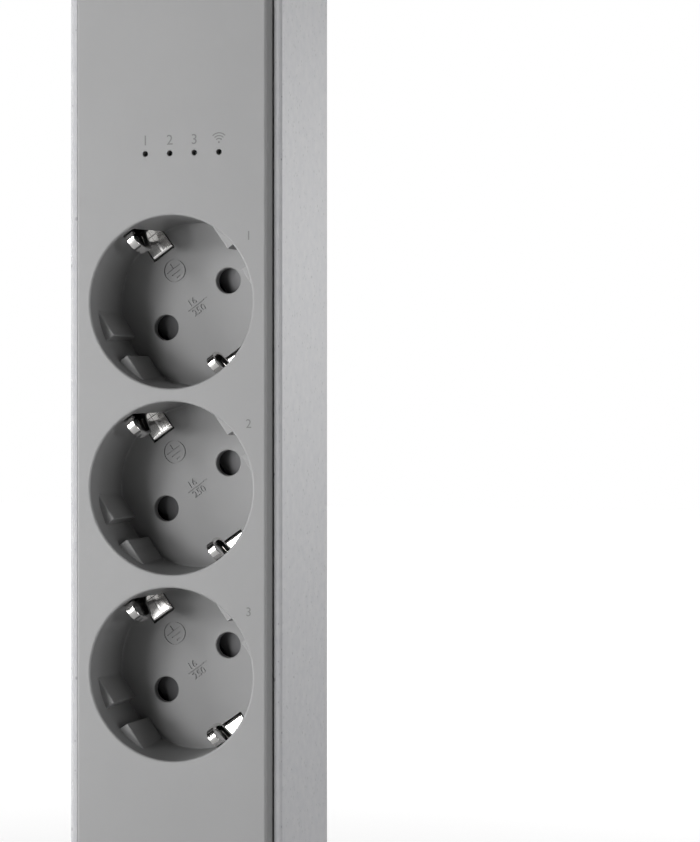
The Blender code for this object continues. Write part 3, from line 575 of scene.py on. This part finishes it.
def well_profile(sizes):
    """The inside of a well, from its open mouth to its floor, as (radius, depth) points."""
    mouth, floor, depth = sizes.mouth_radius, sizes.floor_radius, sizes.well_depth
    edge, fillet = sizes.mouth_round, 0.0004
    profile = [(0, -0.001), (mouth + edge, -0.001)]
    profile += [(mouth + edge - edge * math.sin(math.radians(turn)),
                 edge - edge * math.cos(math.radians(turn))) for turn in range(0, 91, 15)]
    profile += [(floor - fillet + fillet * math.cos(math.radians(turn)),
                 depth - fillet + fillet * math.sin(math.radians(turn))) for turn in range(0, 91, 18)]
    profile.append((0, depth))
    return profile


def guide_rib(end, side):
    """The block that a guide rib leaves in a well, with its open edges rounded."""
    u = sorted((end * 0.01706, end * 0.0245))
    v = sorted((side * 0.0028, side * 0.0140))
    rib = block("rib", (u[0], 0.0043, v[0]), (u[1], 0.0190, v[1]))
    inner_u, inner_v = end * 0.01706, side * 0.0028

    def open_edge(edge):
        near_face = edge_at(edge, 0, inner_u)
        near_notch = edge_at(edge, 2, inner_v)
        near_top = edge_at(edge, 1, 0.0043)
        return near_face + near_notch + near_top >= 2
    bevel_edges(rib, open_edge, 0.0003, 4)
    return rib


def clip_slot(side):
    """The tapered slot in the wall and its wider foot in the floor, for one arm of a clip."""
    v = sorted((side * 0.0179, side * 0.0235))
    slot = block("wall_slot", (-0.0031, 0.0022, v[0]), (0.0031, 0.0180, v[1]))
    select_where(slot, "VERT", lambda vert: vert.co.y < 0.01)
    bpy.ops.transform.resize(value=(0.5, 1, 1), center_override=(0, 0.0022, 0))
    leave_edit()
    v = sorted((side * 0.0144, side * 0.0235))
    foot = block("floor_slot", (-0.00312, 0.0168, v[0]), (0.00312, 0.0210, v[1]))
    return slot, foot


def bar_shape(name, centre, length, width, thickness, turn=0.0):
    """A thin straight line of a mark, in the plane of the face."""
    bar = block(name, (-length / 2, -thickness / 2, -width / 2), (length / 2, thickness / 2, width / 2))
    bar.matrix_world = Matrix.Translation(centre) @ Matrix.Rotation(-turn, 4, "Y")
    return settle(bar, name)


def ring_shape(name, centre, radius, width, thickness, steps=72):
    """A thin ring in the plane of the face."""
    inner, outer, half = radius - width / 2, radius + width / 2, thickness / 2
    profile = [(inner, -half), (outer, -half), (outer, half), (inner, half), (inner, -half)]
    return turned(name, profile, centre, steps=steps)


def make_floor_marks(sizes):
    """The earth sign and the current and voltage rating, in the frame of the pin axis."""
    deep, line = 2 * sizes.engraving_depth, 0.00024
    y = sizes.well_depth
    v = 0.00975
    marks = [ring_shape("sign_ring", (0, y, v), 0.00262, line, deep)]
    for offset, length in ((0.0005, 0.0038), (-0.0006, 0.0025), (-0.00168, 0.0011)):
        marks.append(bar_shape("sign_bar", (0, y, v + offset), length, line, deep))
    marks.append(bar_shape("sign_stem", (0, y, v + 0.00127), 0.0013, line, deep, math.pi / 2))
    marks.append(bar_shape("rating_bar", (-0.0005, y, -0.00012), 0.0044, 0.0002, deep))
    marks.append(text_shape("rating_top", "16", 0.0024, deep, (-0.0007, y, 0.00112)))
    marks.append(text_shape("rating_low", "250", 0.0024, deep, (-0.0003, y, -0.00145)))
    marks.append(text_shape("rating_wave", "~", 0.0019, deep, (0.0023, y, 0.00005)))
    return marks


def make_well_cutter(sizes):
    """One well's inside, less its guide ribs, with its clip slots and pin holes."""
    well = turned("well", well_profile(sizes), (0, 0, 0), steps=sizes.round_steps)
    for end in (-1, 1):
        for side in (-1, 1):
            boolean(well, guide_rib(end, side))
    depth, radius = sizes.well_depth, sizes.pin_hole_radius
    for side in (-1, 1):
        for tool in clip_slot(side):
            boolean(well, tool, "UNION")
    for end in (-1, 1):
        profile = [(0, depth - 0.002), (radius + 0.0002, depth - 0.002), (radius + 0.0002, depth)]
        profile += [(radius, depth + 0.0002), (radius, depth + 0.004), (0, depth + 0.004)]
        hole = turned("pin_hole", profile, (end * sizes.pin_spacing / 2, 0, 0), steps=64)
        boolean(well, hole, "UNION")
    merge_flat(well)
    for mark in make_floor_marks(sizes):
        boolean(well, mark, "UNION")
    merge_flat(well)
    return well


def make_face_openings(sizes):
    """Cutters for the status lights, the button and the two ports, with eased front edges."""
    cutters = []
    guide = middle("light_guide")
    ease = 0.00008
    for x in light_places():
        radius = sizes.led_radius
        profile = [(0, -0.001), (radius + 2 * ease, -0.001), (radius + 2 * ease, -ease), (radius, ease)]
        profile += [(radius, 0.003), (0, 0.003)]
        cutters.append(turned("light_hole", profile, (x, FRONT, guide.z), steps=32))
    button = middle("button_cap")
    radius = 0.0063
    profile = [(0, -0.001), (radius + 0.0006, -0.001), (radius + 0.0006, -0.0003)]
    profile += [(radius, 0.0003), (radius, 0.003), (0, 0.003)]
    cutters.append(turned("button_hole", profile, (button.x, FRONT, button.z), steps=96))
    for node, margin, corner in (("usb_a_port", 0.00035, 0.0006), ("usb_c_port", 0.00035, 0.00195)):
        low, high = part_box(node)
        low = Vector((low.x - margin, FRONT - 0.001, low.z - margin))
        high = Vector((high.x + margin, FRONT + 0.004, high.z + margin))
        cutters.append(rounded_block("port_hole", low, high, corner, 8))
    return joined(cutters, "face_openings")


def light_places():
    """X of each status light: one finger at each 6 mm along the light guide."""
    low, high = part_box("light_guide")
    first, last = low.x + 0.002, high.x - 0.002
    return [first + (last - first) * step / 3 for step in range(4)]


def make_cover():
    """The face plate and its three socket wells."""
    sizes = bpy.context.scene.strip_sizes
    flank, ledge, skirt = 0.0027, 0.0077, 0.0007
    low = Vector((COVER_LOW.x, FRONT + flank, COVER_LOW.z))
    high = Vector((COVER_HIGH.x, FRONT + ledge, COVER_HIGH.z))
    cover = rounded_block("cover_shell", low, high, 0.0023, 10)
    select_where(cover, "FACE", lambda face: face.normal.y < -0.99)
    bpy.ops.mesh.inset(thickness=skirt, depth=flank)
    leave_edit()
    bevel_edges(cover, lambda edge: edge_at(edge, 1, FRONT), sizes.face_round, 6)
    sink_face(cover, 1, skirt, ledge - 0.010)
    bpy.ops.mesh.inset(thickness=0.0015, depth=0)
    bpy.ops.mesh.extrude_region_move(TRANSFORM_OT_translate={"value": (0, -0.008, 0)})
    leave_edit()
    base = sizes.well_depth + 0.002
    for socket in SOCKETS:
        shell = turned("well_shell", [(0, 0.001), (sizes.mouth_radius + 0.0013, 0.001),
                                      (sizes.floor_radius + 0.0013, base), (0, base)], socket,
                       steps=sizes.round_steps)
        boolean(cover, shell, "UNION")
    boolean(cover, make_face_openings(sizes))
    well = make_well_cutter(sizes)
    wells = [to_socket(duplicate(well, "well_cut"), socket) for socket in SOCKETS]
    boolean(cover, joined(wells, "well_cuts"))
    bpy.data.objects.remove(well, do_unlink=True)
    dress(cover, "cover_grey", nodes=["front_cover", "socket_well_1", "socket_well_2", "socket_well_3"])


def arc_shape(name, centre, radius, width, thickness, half_angle):
    """An arc of up to half a ring, round +Z, cut from a full ring."""
    ring = ring_shape(name, centre, radius, width, thickness)
    for side in (-1, 1):
        only(ring)
        bpy.ops.object.mode_set(mode="EDIT")
        bpy.ops.mesh.select_all(action="SELECT")
        normal = (side * math.cos(half_angle), 0, -math.sin(half_angle))
        bpy.ops.mesh.bisect(plane_co=centre, plane_no=normal, use_fill=True, clear_outer=True)
        leave_edit()
    return ring


def make_face_labels():
    """The printed numbers and the wireless sign above the status lights, and the socket numbers."""
    sizes = bpy.context.scene.strip_sizes
    guide = middle("light_guide")
    print_y = FRONT - PRINT_LIFT
    thick = PRINT_THICK
    labels = []
    places = light_places()
    for number, x in enumerate(places[:3], 1):
        centre = (x, print_y, guide.z + 0.00295)
        labels.append(text_shape(f"light_label_{number}", str(number), sizes.label_height, thick, centre))
    dot = Vector((places[3], print_y, guide.z + 0.0022))
    for radius in (0.00085, 0.0015, 0.00213):
        labels.append(arc_shape("wave", dot, radius, 0.00025, thick, math.radians(45)))
    dot_radius = 0.00024
    profile = [(0, -thick / 2), (dot_radius, -thick / 2), (dot_radius, thick / 2), (0, thick / 2)]
    labels.append(turned("wave_dot", profile, dot, steps=24))
    for number, socket in enumerate(reversed(SOCKETS), 1):
        centre = (0.0190, print_y, socket.z + 0.01475)
        size = sizes.label_height * 0.88
        labels.append(text_shape(f"socket_label_{number}", str(number), size, thick, centre))
    dress(joined(labels, "face_labels"), "print_grey", weighted=False)


# Earth clips

def bend(centre, radius, start, end, width, steps):
    """Points of (across, depth, width) on a round bend, with its angles in degrees."""
    points = []
    for step in range(steps + 1):
        angle = math.radians(start + (end - start) * step / steps)
        points.append((centre[0] + radius * math.cos(angle), centre[1] + radius * math.sin(angle), width))
    return points


def clip_path():
    """Half of a clip, from the middle of its base to its curled tip: (across, depth, width)."""
    base, foot = 0.03425, 0.01750 + STRIP / 2
    path = [(0.0, base, 0.0044)]
    path += bend((0.01405, base - 0.0010), 0.0010, 90, 0, 0.0048, 6)
    path += bend((0.01550, foot + 0.00045), 0.00045, 180, 270, 0.0057, 5)
    path += bend((0.01960, foot - 0.00060), 0.00060, 90, 0, 0.0057, 6)
    path += [(0.02020, 0.0158, 0.0042), (0.02020, 0.0118, 0.0040), (0.02012, 0.0112, 0.0034),
             (0.01980, 0.01078, 0.0025), (0.01920, 0.01045, 0.0021), (0.01820, 0.00985, 0.0020),
             (0.01730, 0.00930, 0.0020), (0.01640, 0.00878, 0.0020), (0.01590, 0.00845, 0.0020),
             (0.01552, 0.00805, 0.0020), (0.01522, 0.00755, 0.0020), (0.01504, 0.00695, 0.0020),
             (0.01494, 0.00620, 0.0020), (0.01492, 0.00540, 0.0020), (0.01500, 0.00460, 0.0020),
             (0.01518, 0.00390, 0.0020)]
    path += bend((0.01740, 0.00320), 0.00195, 180, 360, 0.0020, 22)
    path.append((0.01942, 0.0040, 0.0019))
    return path


def make_clip():
    """One clip in the frame of the pin axis: a line across its base, drawn along the path."""
    half = clip_path()
    path = [(-v, d, width) for v, d, width in reversed(half[1:])] + half
    start_v, start_d, start_width = path[0]
    item = point_at("clip", (-start_width / 2, start_d, start_v))
    bpy.ops.mesh.extrude_vertices_move(TRANSFORM_OT_translate={"value": (start_width, 0, 0)})
    bpy.ops.mesh.select_all(action="SELECT")
    for (v, d, width), (next_v, next_d, next_width) in zip(path, path[1:]):
        bpy.ops.mesh.extrude_region_move(TRANSFORM_OT_translate={"value": (0, next_d - d, next_v - v)})
        bpy.ops.transform.resize(value=(next_width / width, 1, 1))
    leave_edit()
    solid = item.modifiers.new("thickness", "SOLIDIFY")
    solid.thickness = STRIP
    solid.offset = 0.0
    solid.use_even_offset = True
    edge = item.modifiers.new("edge", "BEVEL")
    edge.width = 0.00016
    edge.segments = 3
    edge.limit_method = "ANGLE"
    edge.angle_limit = math.radians(55)
    only(item)
    for name in ("thickness", "edge"):
        bpy.ops.object.modifier_apply(modifier=name)
    grooves = []
    for side in (-1, 1):
        v = sorted((side * 0.0154, side * 0.0199))
        grooves.append(block("groove", (-0.00027, 0.0170, v[0]), (-0.00014, 0.01768, v[1])))
        grooves.append(block("groove", (0.00036, 0.0170, v[0]), (0.00042, 0.01757, v[1])))
        v = sorted((side * 0.0166, side * 0.0192))
        grooves.append(block("groove", (-0.00008, 0.0070, v[0]), (0.00004, 0.0125, v[1])))
    boolean(item, joined(grooves, "grooves"))
    return item


def make_earth_clips():
    clip = make_clip()
    for number, socket in enumerate(SOCKETS, 1):
        copy = to_socket(duplicate(clip, f"clip_detail_{number}"), socket)
        dress(copy, "nickel_spring", nodes=[f"earth_clip_{number}"], smooth=40)
    bpy.data.objects.remove(clip, do_unlink=True)


# Button, ports, inlet, screws and feet

def make_button():
    """The cap with a dished face, an engraved power sign, its flange and its stem."""
    centre = middle("button_cap")
    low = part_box("button_cap")[0]
    dish = 0.0004
    profile = [(0, dish), (0.0030, 0.00035), (0.0049, 0.0002), (0.0054, 0.00003), (0.0057, 0.0)]
    profile += [(0.0059, 0.00008), (0.0060, 0.0003), (0.0060, 0.00245), (0.0072, 0.00245), (0.0072, 0.00335)]
    profile += [(0.0018, 0.00335), (0.0018, 0.00725), (0, 0.00725)]
    cap = turned("button_detail", profile, (centre.x, low.y, centre.z), steps=96)
    place = Vector((centre.x, low.y + dish, centre.z))
    line, deep, half_gap = 0.00025, 0.0004, 0.0005
    sign = ring_shape("power_arc", place, 0.0014, line, deep)
    gap_low, gap_high = Vector((-half_gap, -0.001, 0)), Vector((half_gap, 0.001, 0.002))
    boolean(sign, block("power_gap", place + gap_low, place + gap_high))
    bar = bar_shape("power_bar", place + Vector((0, 0, 0.0011)), 0.0013, line, deep, math.pi / 2)
    boolean(cap, joined([sign, bar], "power_sign"))
    dress(cap, "cover_grey", body="button", nodes=["button_cap"])


def make_port(node, name, corner, wall, depth, tongue, contacts):
    """A drawn steel shell with a rolled mouth, a tongue and its gold contacts."""
    low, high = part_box(node)
    shell = rounded_block(name, low, high, corner, 8)
    sink_face(shell, -1, wall, depth)
    leave_edit()
    bevel_edges(shell, lambda edge: edge_at(edge, 1, low.y), 0.00008, 2)
    dress(shell, "nickel_spring", nodes=[node])
    centre = (low + high) / 2
    width, thick, lift, setback = tongue
    tongue_low = (-width / 2, low.y + setback, centre.z + lift - thick / 2)
    tongue_high = (width / 2, low.y + depth - 0.0001, centre.z + lift + thick / 2)
    piece = block(name + "_tongue", tongue_low, tongue_high)
    bevel_edges(piece, lambda edge: True, 0.0001, 2)
    dress(piece, "block_black")
    count, pitch, strip = contacts
    strips = []
    for index in range(count):
        x = (index - (count - 1) / 2) * pitch
        z = centre.z + lift - thick / 2
        contact = block("strip", (x - strip / 2, low.y + setback + 0.0006, z - 0.00008),
                        (x + strip / 2, low.y + depth * 0.8, z + 0.00008))
        bevel_edges(contact, lambda edge: True, 0.00003, 1)
        strips.append(contact)
    dress(joined(strips, name + "_contacts"), "brass_contact")


def make_ports():
    make_port("usb_a_port", "usb_a_shell", 0.0006, 0.0004, 0.0100, (0.0108, 0.0016, 0.0011, 0.0010),
              (4, 0.0023, 0.0010))
    make_port("usb_c_port", "usb_c_shell", 0.0016, 0.00035, 0.0078, (0.0066, 0.0007, 0.0, 0.0008),
              (8, 0.0006, 0.0003))


def make_inlet():
    """The grommet in the top end: two flanges, a waist and a ribbed mouth."""
    low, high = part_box("cable_inlet_bush")
    centre = ((low.x + high.x) / 2, (low.y + high.y) / 2, 0)
    bore, neck, flange = 0.0039, 0.0060, 0.0075
    bottom, top = low.z, high.z
    profile = [(bore, bottom), (flange, bottom), (flange, bottom + 0.002), (neck, bottom + 0.002),
               (neck, top - 0.0009), (flange - 0.0002, top - 0.0009), (flange, top - 0.0007),
               (flange, top - 0.0005), (flange - 0.0004, top - 0.0001), (flange - 0.0008, top),
               (0.0056, top), (0.0054, top - 0.0002), (0.0051, top - 0.0002), (0.0049, top),
               (bore + 0.0004, top), (bore + 0.0001, top - 0.0001), (bore, top - 0.0005), (bore, bottom)]
    bush = turned("inlet_bush", profile, centre, "Z", 96)
    dress(bush, "rubber_black", nodes=["cable_inlet_bush"])


def make_screw(name, centre, head_y):
    """A pan head with a cross recess and a threaded shank, head towards +Y."""
    profile = [(0, -0.0145), (0.0008, -0.0143), (0.0010, -0.0135)]
    along = -0.0133
    while along < -0.0035:
        profile += [(0.0010, along), (0.0013, along + 0.00035), (0.0010, along + 0.0007)]
        along += 0.0009
    profile += [(0.0012, -0.0022), (0.0012, -0.0021), (0.0025, -0.0021), (0.0025, -0.0009)]
    profile += [(0.0025 * math.cos(math.radians(turn)), -0.0009 + 0.0009 * math.sin(math.radians(turn)))
                for turn in range(15, 90, 15)]
    profile.append((0, 0.0))
    screw = turned(name, profile, (centre.x, head_y, centre.z), steps=40)
    arms = []
    for size in ((0.0032, 0.0007), (0.0007, 0.0032)):
        arm = block("arm", (-size[0] / 2, -0.0011, -size[1] / 2), (size[0] / 2, 0.0005, size[1] / 2))
        select_where(arm, "VERT", lambda vert: vert.co.y < 0)
        bpy.ops.transform.resize(value=(0.45, 1, 0.45), center_override=(0, 0, 0))
        leave_edit()
        arm.matrix_world = Matrix.Translation((centre.x, head_y, centre.z))
        arms.append(settle(arm, "arm"))
    for arm in arms:
        boolean(screw, arm)
    return screw


def make_housing_screws():
    for number, centre in enumerate(SCREWS, 1):
        head_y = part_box(f"housing_screw_{number}")[1].y
        screw = make_screw(f"screw_detail_{number}", centre, head_y)
        dress(screw, "steel_screw", nodes=[f"housing_screw_{number}"])


def make_feet():
    """Rubber pads with two grip rings pressed into each face."""
    for number, centre in enumerate(PADS, 1):
        low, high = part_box(f"foot_pad_{number}")
        deep = high.y - low.y
        profile = [(0, 0), (0.0050, 0), (0.0050, deep - 0.0003), (0.0049, deep - 0.0001), (0.0047, deep)]
        for ring in (0.0040, 0.0025):
            profile += [(ring, deep), (ring - 0.0001, deep - 0.00015), (ring - 0.0004, deep - 0.00015),
                        (ring - 0.0005, deep)]
        profile.append((0, deep))
        pad = turned(f"pad_detail_{number}", profile, (centre.x, low.y, centre.z), steps=64)
        dress(pad, "rubber_black", nodes=[f"foot_pad_{number}"])


def finish_inner_parts():
    """Gives every node that still shows the finish of its own slot."""
    slots = {entry["node"]: entry["material_slot"] for entry in frame["record"]["subparts"]}
    for name, item in frame["nodes"].items():
        item.data.materials.clear()
        item.data.materials.append(finish(slots[name]))


# Studio

def area_light(name, place, target, size, energy, colour=(1, 1, 1)):
    bpy.ops.object.select_all(action="DESELECT")
    bpy.ops.object.light_add(type="AREA", location=place)
    light = bpy.context.object
    light.name = name
    light.data.shape = "RECTANGLE"
    light.data.size, light.data.size_y = size
    light.data.energy = energy
    light.data.color = colour
    light.rotation_euler = (Vector(target) - Vector(place)).to_track_quat("-Z", "Y").to_euler()
    return light


def make_floor():
    """A pale flat floor under the strip."""
    bpy.ops.object.select_all(action="DESELECT")
    bpy.ops.mesh.primitive_plane_add(size=1, location=(0, 0, 0))
    floor = bpy.context.object
    floor.name = "studio_floor"
    floor.scale = (6, 6, 1)
    settle(floor, "studio_floor")
    made, nodes, links, shader = new_material("studio_floor_finish", 0.9)
    mottle = object_pattern(nodes, links, "ShaderNodeTexNoise", 3.0)
    tint = ramp(nodes, links, mottle.outputs["Fac"], [(0.3, (0.80, 0.80, 0.80)), (0.7, (0.83, 0.83, 0.83))])
    links.new(tint.outputs["Color"], shader.inputs["Base Color"])
    coordinates = nodes.new("ShaderNodeTexCoord")
    reach = nodes.new("ShaderNodeVectorMath")
    reach.operation = "LENGTH"
    links.new(coordinates.outputs["Object"], reach.inputs[0])
    fade = nodes.new("ShaderNodeMapRange")
    fade.inputs["From Min"].default_value = 0.12
    fade.inputs["From Max"].default_value = 0.85
    fade.inputs["To Min"].default_value = 0.35
    fade.inputs["To Max"].default_value = 1.0
    links.new(reach.outputs["Value"], fade.inputs["Value"])
    # Painted light: for camera rays the floor glows white, at strength 0.35 near the strip rising to 1 at 0.85 m
    # out, so it looks brighter further away.
    seen = nodes.new("ShaderNodeLightPath")
    glow = nodes.new("ShaderNodeMath")
    glow.operation = "MULTIPLY"
    links.new(fade.outputs["Result"], glow.inputs[1])
    links.new(seen.outputs["Is Camera Ray"], glow.inputs[0])
    shader.inputs["Emission Color"].default_value = (1, 1, 1, 1)
    links.new(glow.outputs["Value"], shader.inputs["Emission Strength"])
    floor.data.materials.append(made)


def make_camera():
    """A level camera to the right of the face, which sees the middle of the strip."""
    turn = math.radians(17.31)
    socket = SOCKETS[1]
    place = socket + Vector((0.22154, -0.57249, 0.02098))
    bpy.ops.object.select_all(action="DESELECT")
    bpy.ops.object.camera_add(location=place, rotation=(math.pi / 2, 0, turn))
    camera = bpy.context.object
    camera.name = "strip_camera"
    camera.data.sensor_fit = "VERTICAL"
    camera.data.sensor_height = 36.0
    camera.data.lens = 114.2364
    camera.data.shift_y = -0.02886
    camera.data.clip_start = 0.01
    camera.data.clip_end = 20.0
    bpy.context.scene.camera = camera


def make_world():
    """A white sky for the camera and a dim grey one for everything else."""
    world = bpy.data.worlds.new("studio_world")
    bpy.context.scene.world = world
    world.use_nodes = True
    nodes, links = world.node_tree.nodes, world.node_tree.links
    background = nodes["Background"]
    background.inputs["Color"].default_value = (1, 1, 1, 1)
    background.inputs["Strength"].default_value = 0.01
    white = nodes.new("ShaderNodeBackground")
    white.inputs["Color"].default_value = (1, 1, 1, 1)
    path = nodes.new("ShaderNodeLightPath")
    mix = nodes.new("ShaderNodeMixShader")
    links.new(path.outputs["Is Camera Ray"], mix.inputs["Fac"])
    links.new(background.outputs["Background"], mix.inputs[1])
    links.new(white.outputs["Background"], mix.inputs[2])
    links.new(mix.outputs["Shader"], nodes["World Output"].inputs["Surface"])


def make_studio():
    make_floor()
    make_world()
    make_camera()
    target = SOCKETS[1]
    area_light("key_high", (-0.639, -1.042, 0.627), target, (0.3, 0.3), 5.5)
    area_light("key_low", (-0.474, -0.779, 0.098), target, (0.3, 0.19), 3.4)
    area_light("left_low", (-0.775, -0.468, 0.098), target, (0.3, 0.19), 4.7)
    area_light("right_front", (1.256, -0.356, 0.14), target, (0.4, 0.28), 3.2)
    area_light("right_side", (1.3, -0.02, 0.14), target, (0.4, 0.28), 3.6)
    area_light("right_rear", (0.6475, 1.1015, 0.2533), target, (0.4, 0.28), 4.4)
    area_light("back_light", (0.0, 0.62, 1.27), target, (0.6, 0.6), 5.0)
    area_light("fill_card", (-0.215, -0.57, 0.13), target, (0.16, 0.26), 0.13)
    scene = bpy.context.scene
    scene.view_settings.view_transform = "Standard"
    scene.view_settings.look = "None"


# Operators, one for each group of pieces

class STRIP_OT_inner_parts(bpy.types.Operator):
    """Gives the inner parts their finishes"""
    bl_idname = "strip.inner_parts"
    bl_label = "Inner parts"
    bl_options = {"REGISTER", "UNDO"}

    def execute(self, context):
        finish_inner_parts()
        return {"FINISHED"}


class STRIP_OT_housing(bpy.types.Operator):
    """Builds the speckled housing tray"""
    bl_idname = "strip.housing"
    bl_label = "Housing"
    bl_options = {"REGISTER", "UNDO"}

    def execute(self, context):
        make_housing()
        return {"FINISHED"}


class STRIP_OT_cover(bpy.types.Operator):
    """Builds the cover with its socket wells"""
    bl_idname = "strip.cover"
    bl_label = "Cover and wells"
    bl_options = {"REGISTER", "UNDO"}

    def execute(self, context):
        make_cover()
        return {"FINISHED"}


class STRIP_OT_labels(bpy.types.Operator):
    """Prints the numbers and the wireless sign"""
    bl_idname = "strip.labels"
    bl_label = "Printed labels"
    bl_options = {"REGISTER", "UNDO"}

    def execute(self, context):
        make_face_labels()
        return {"FINISHED"}


class STRIP_OT_clips(bpy.types.Operator):
    """Builds the sprung earth clips"""
    bl_idname = "strip.clips"
    bl_label = "Earth clips"
    bl_options = {"REGISTER", "UNDO"}

    def execute(self, context):
        make_earth_clips()
        return {"FINISHED"}


class STRIP_OT_button(bpy.types.Operator):
    """Builds the button cap"""
    bl_idname = "strip.button"
    bl_label = "Button"
    bl_options = {"REGISTER", "UNDO"}

    def execute(self, context):
        make_button()
        return {"FINISHED"}


class STRIP_OT_ports(bpy.types.Operator):
    """Builds the two USB ports"""
    bl_idname = "strip.ports"
    bl_label = "USB ports"
    bl_options = {"REGISTER", "UNDO"}

    def execute(self, context):
        make_ports()
        return {"FINISHED"}


class STRIP_OT_inlet(bpy.types.Operator):
    """Builds the cable inlet bush"""
    bl_idname = "strip.inlet"
    bl_label = "Cable inlet"
    bl_options = {"REGISTER", "UNDO"}

    def execute(self, context):
        make_inlet()
        return {"FINISHED"}


class STRIP_OT_screws(bpy.types.Operator):
    """Builds the housing screws"""
    bl_idname = "strip.screws"
    bl_label = "Housing screws"
    bl_options = {"REGISTER", "UNDO"}

    def execute(self, context):
        make_housing_screws()
        return {"FINISHED"}


class STRIP_OT_feet(bpy.types.Operator):
    """Builds the rubber feet"""
    bl_idname = "strip.feet"
    bl_label = "Rubber feet"
    bl_options = {"REGISTER", "UNDO"}

    def execute(self, context):
        make_feet()
        return {"FINISHED"}


class STRIP_OT_studio(bpy.types.Operator):
    """Sets up the floor, the lights and the camera"""
    bl_idname = "strip.studio"
    bl_label = "Studio"
    bl_options = {"REGISTER", "UNDO"}

    def execute(self, context):
        make_studio()
        return {"FINISHED"}


OPERATORS = (STRIP_OT_studio, STRIP_OT_inner_parts, STRIP_OT_housing, STRIP_OT_cover, STRIP_OT_labels,
             STRIP_OT_clips, STRIP_OT_button, STRIP_OT_ports, STRIP_OT_inlet, STRIP_OT_screws, STRIP_OT_feet)


class STRIP_PT_builder(bpy.types.Panel):
    """Lists the builders in the order they are used"""
    bl_idname = "STRIP_PT_builder"
    bl_label = "Power strip"
    bl_space_type = "VIEW_3D"
    bl_region_type = "UI"
    bl_category = "Power strip"

    def draw(self, context):
        for operator in OPERATORS:
            self.layout.operator(operator.bl_idname)


CLASSES = (StripSizes, StripColours, *OPERATORS, STRIP_PT_builder)


def register():
    for entry in CLASSES:
        bpy.utils.register_class(entry)
    bpy.types.Scene.strip_sizes = PointerProperty(type=StripSizes)
    bpy.types.Scene.strip_colours = PointerProperty(type=StripColours)


def unregister():
    del bpy.types.Scene.strip_colours
    del bpy.types.Scene.strip_sizes
    for entry in reversed(CLASSES):
        bpy.utils.unregister_class(entry)


def main():
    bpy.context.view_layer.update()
    register()
    for operator in OPERATORS:
        getattr(bpy.ops.strip, operator.bl_idname.split(".")[1])()


if __name__ == "__main__":
    main()
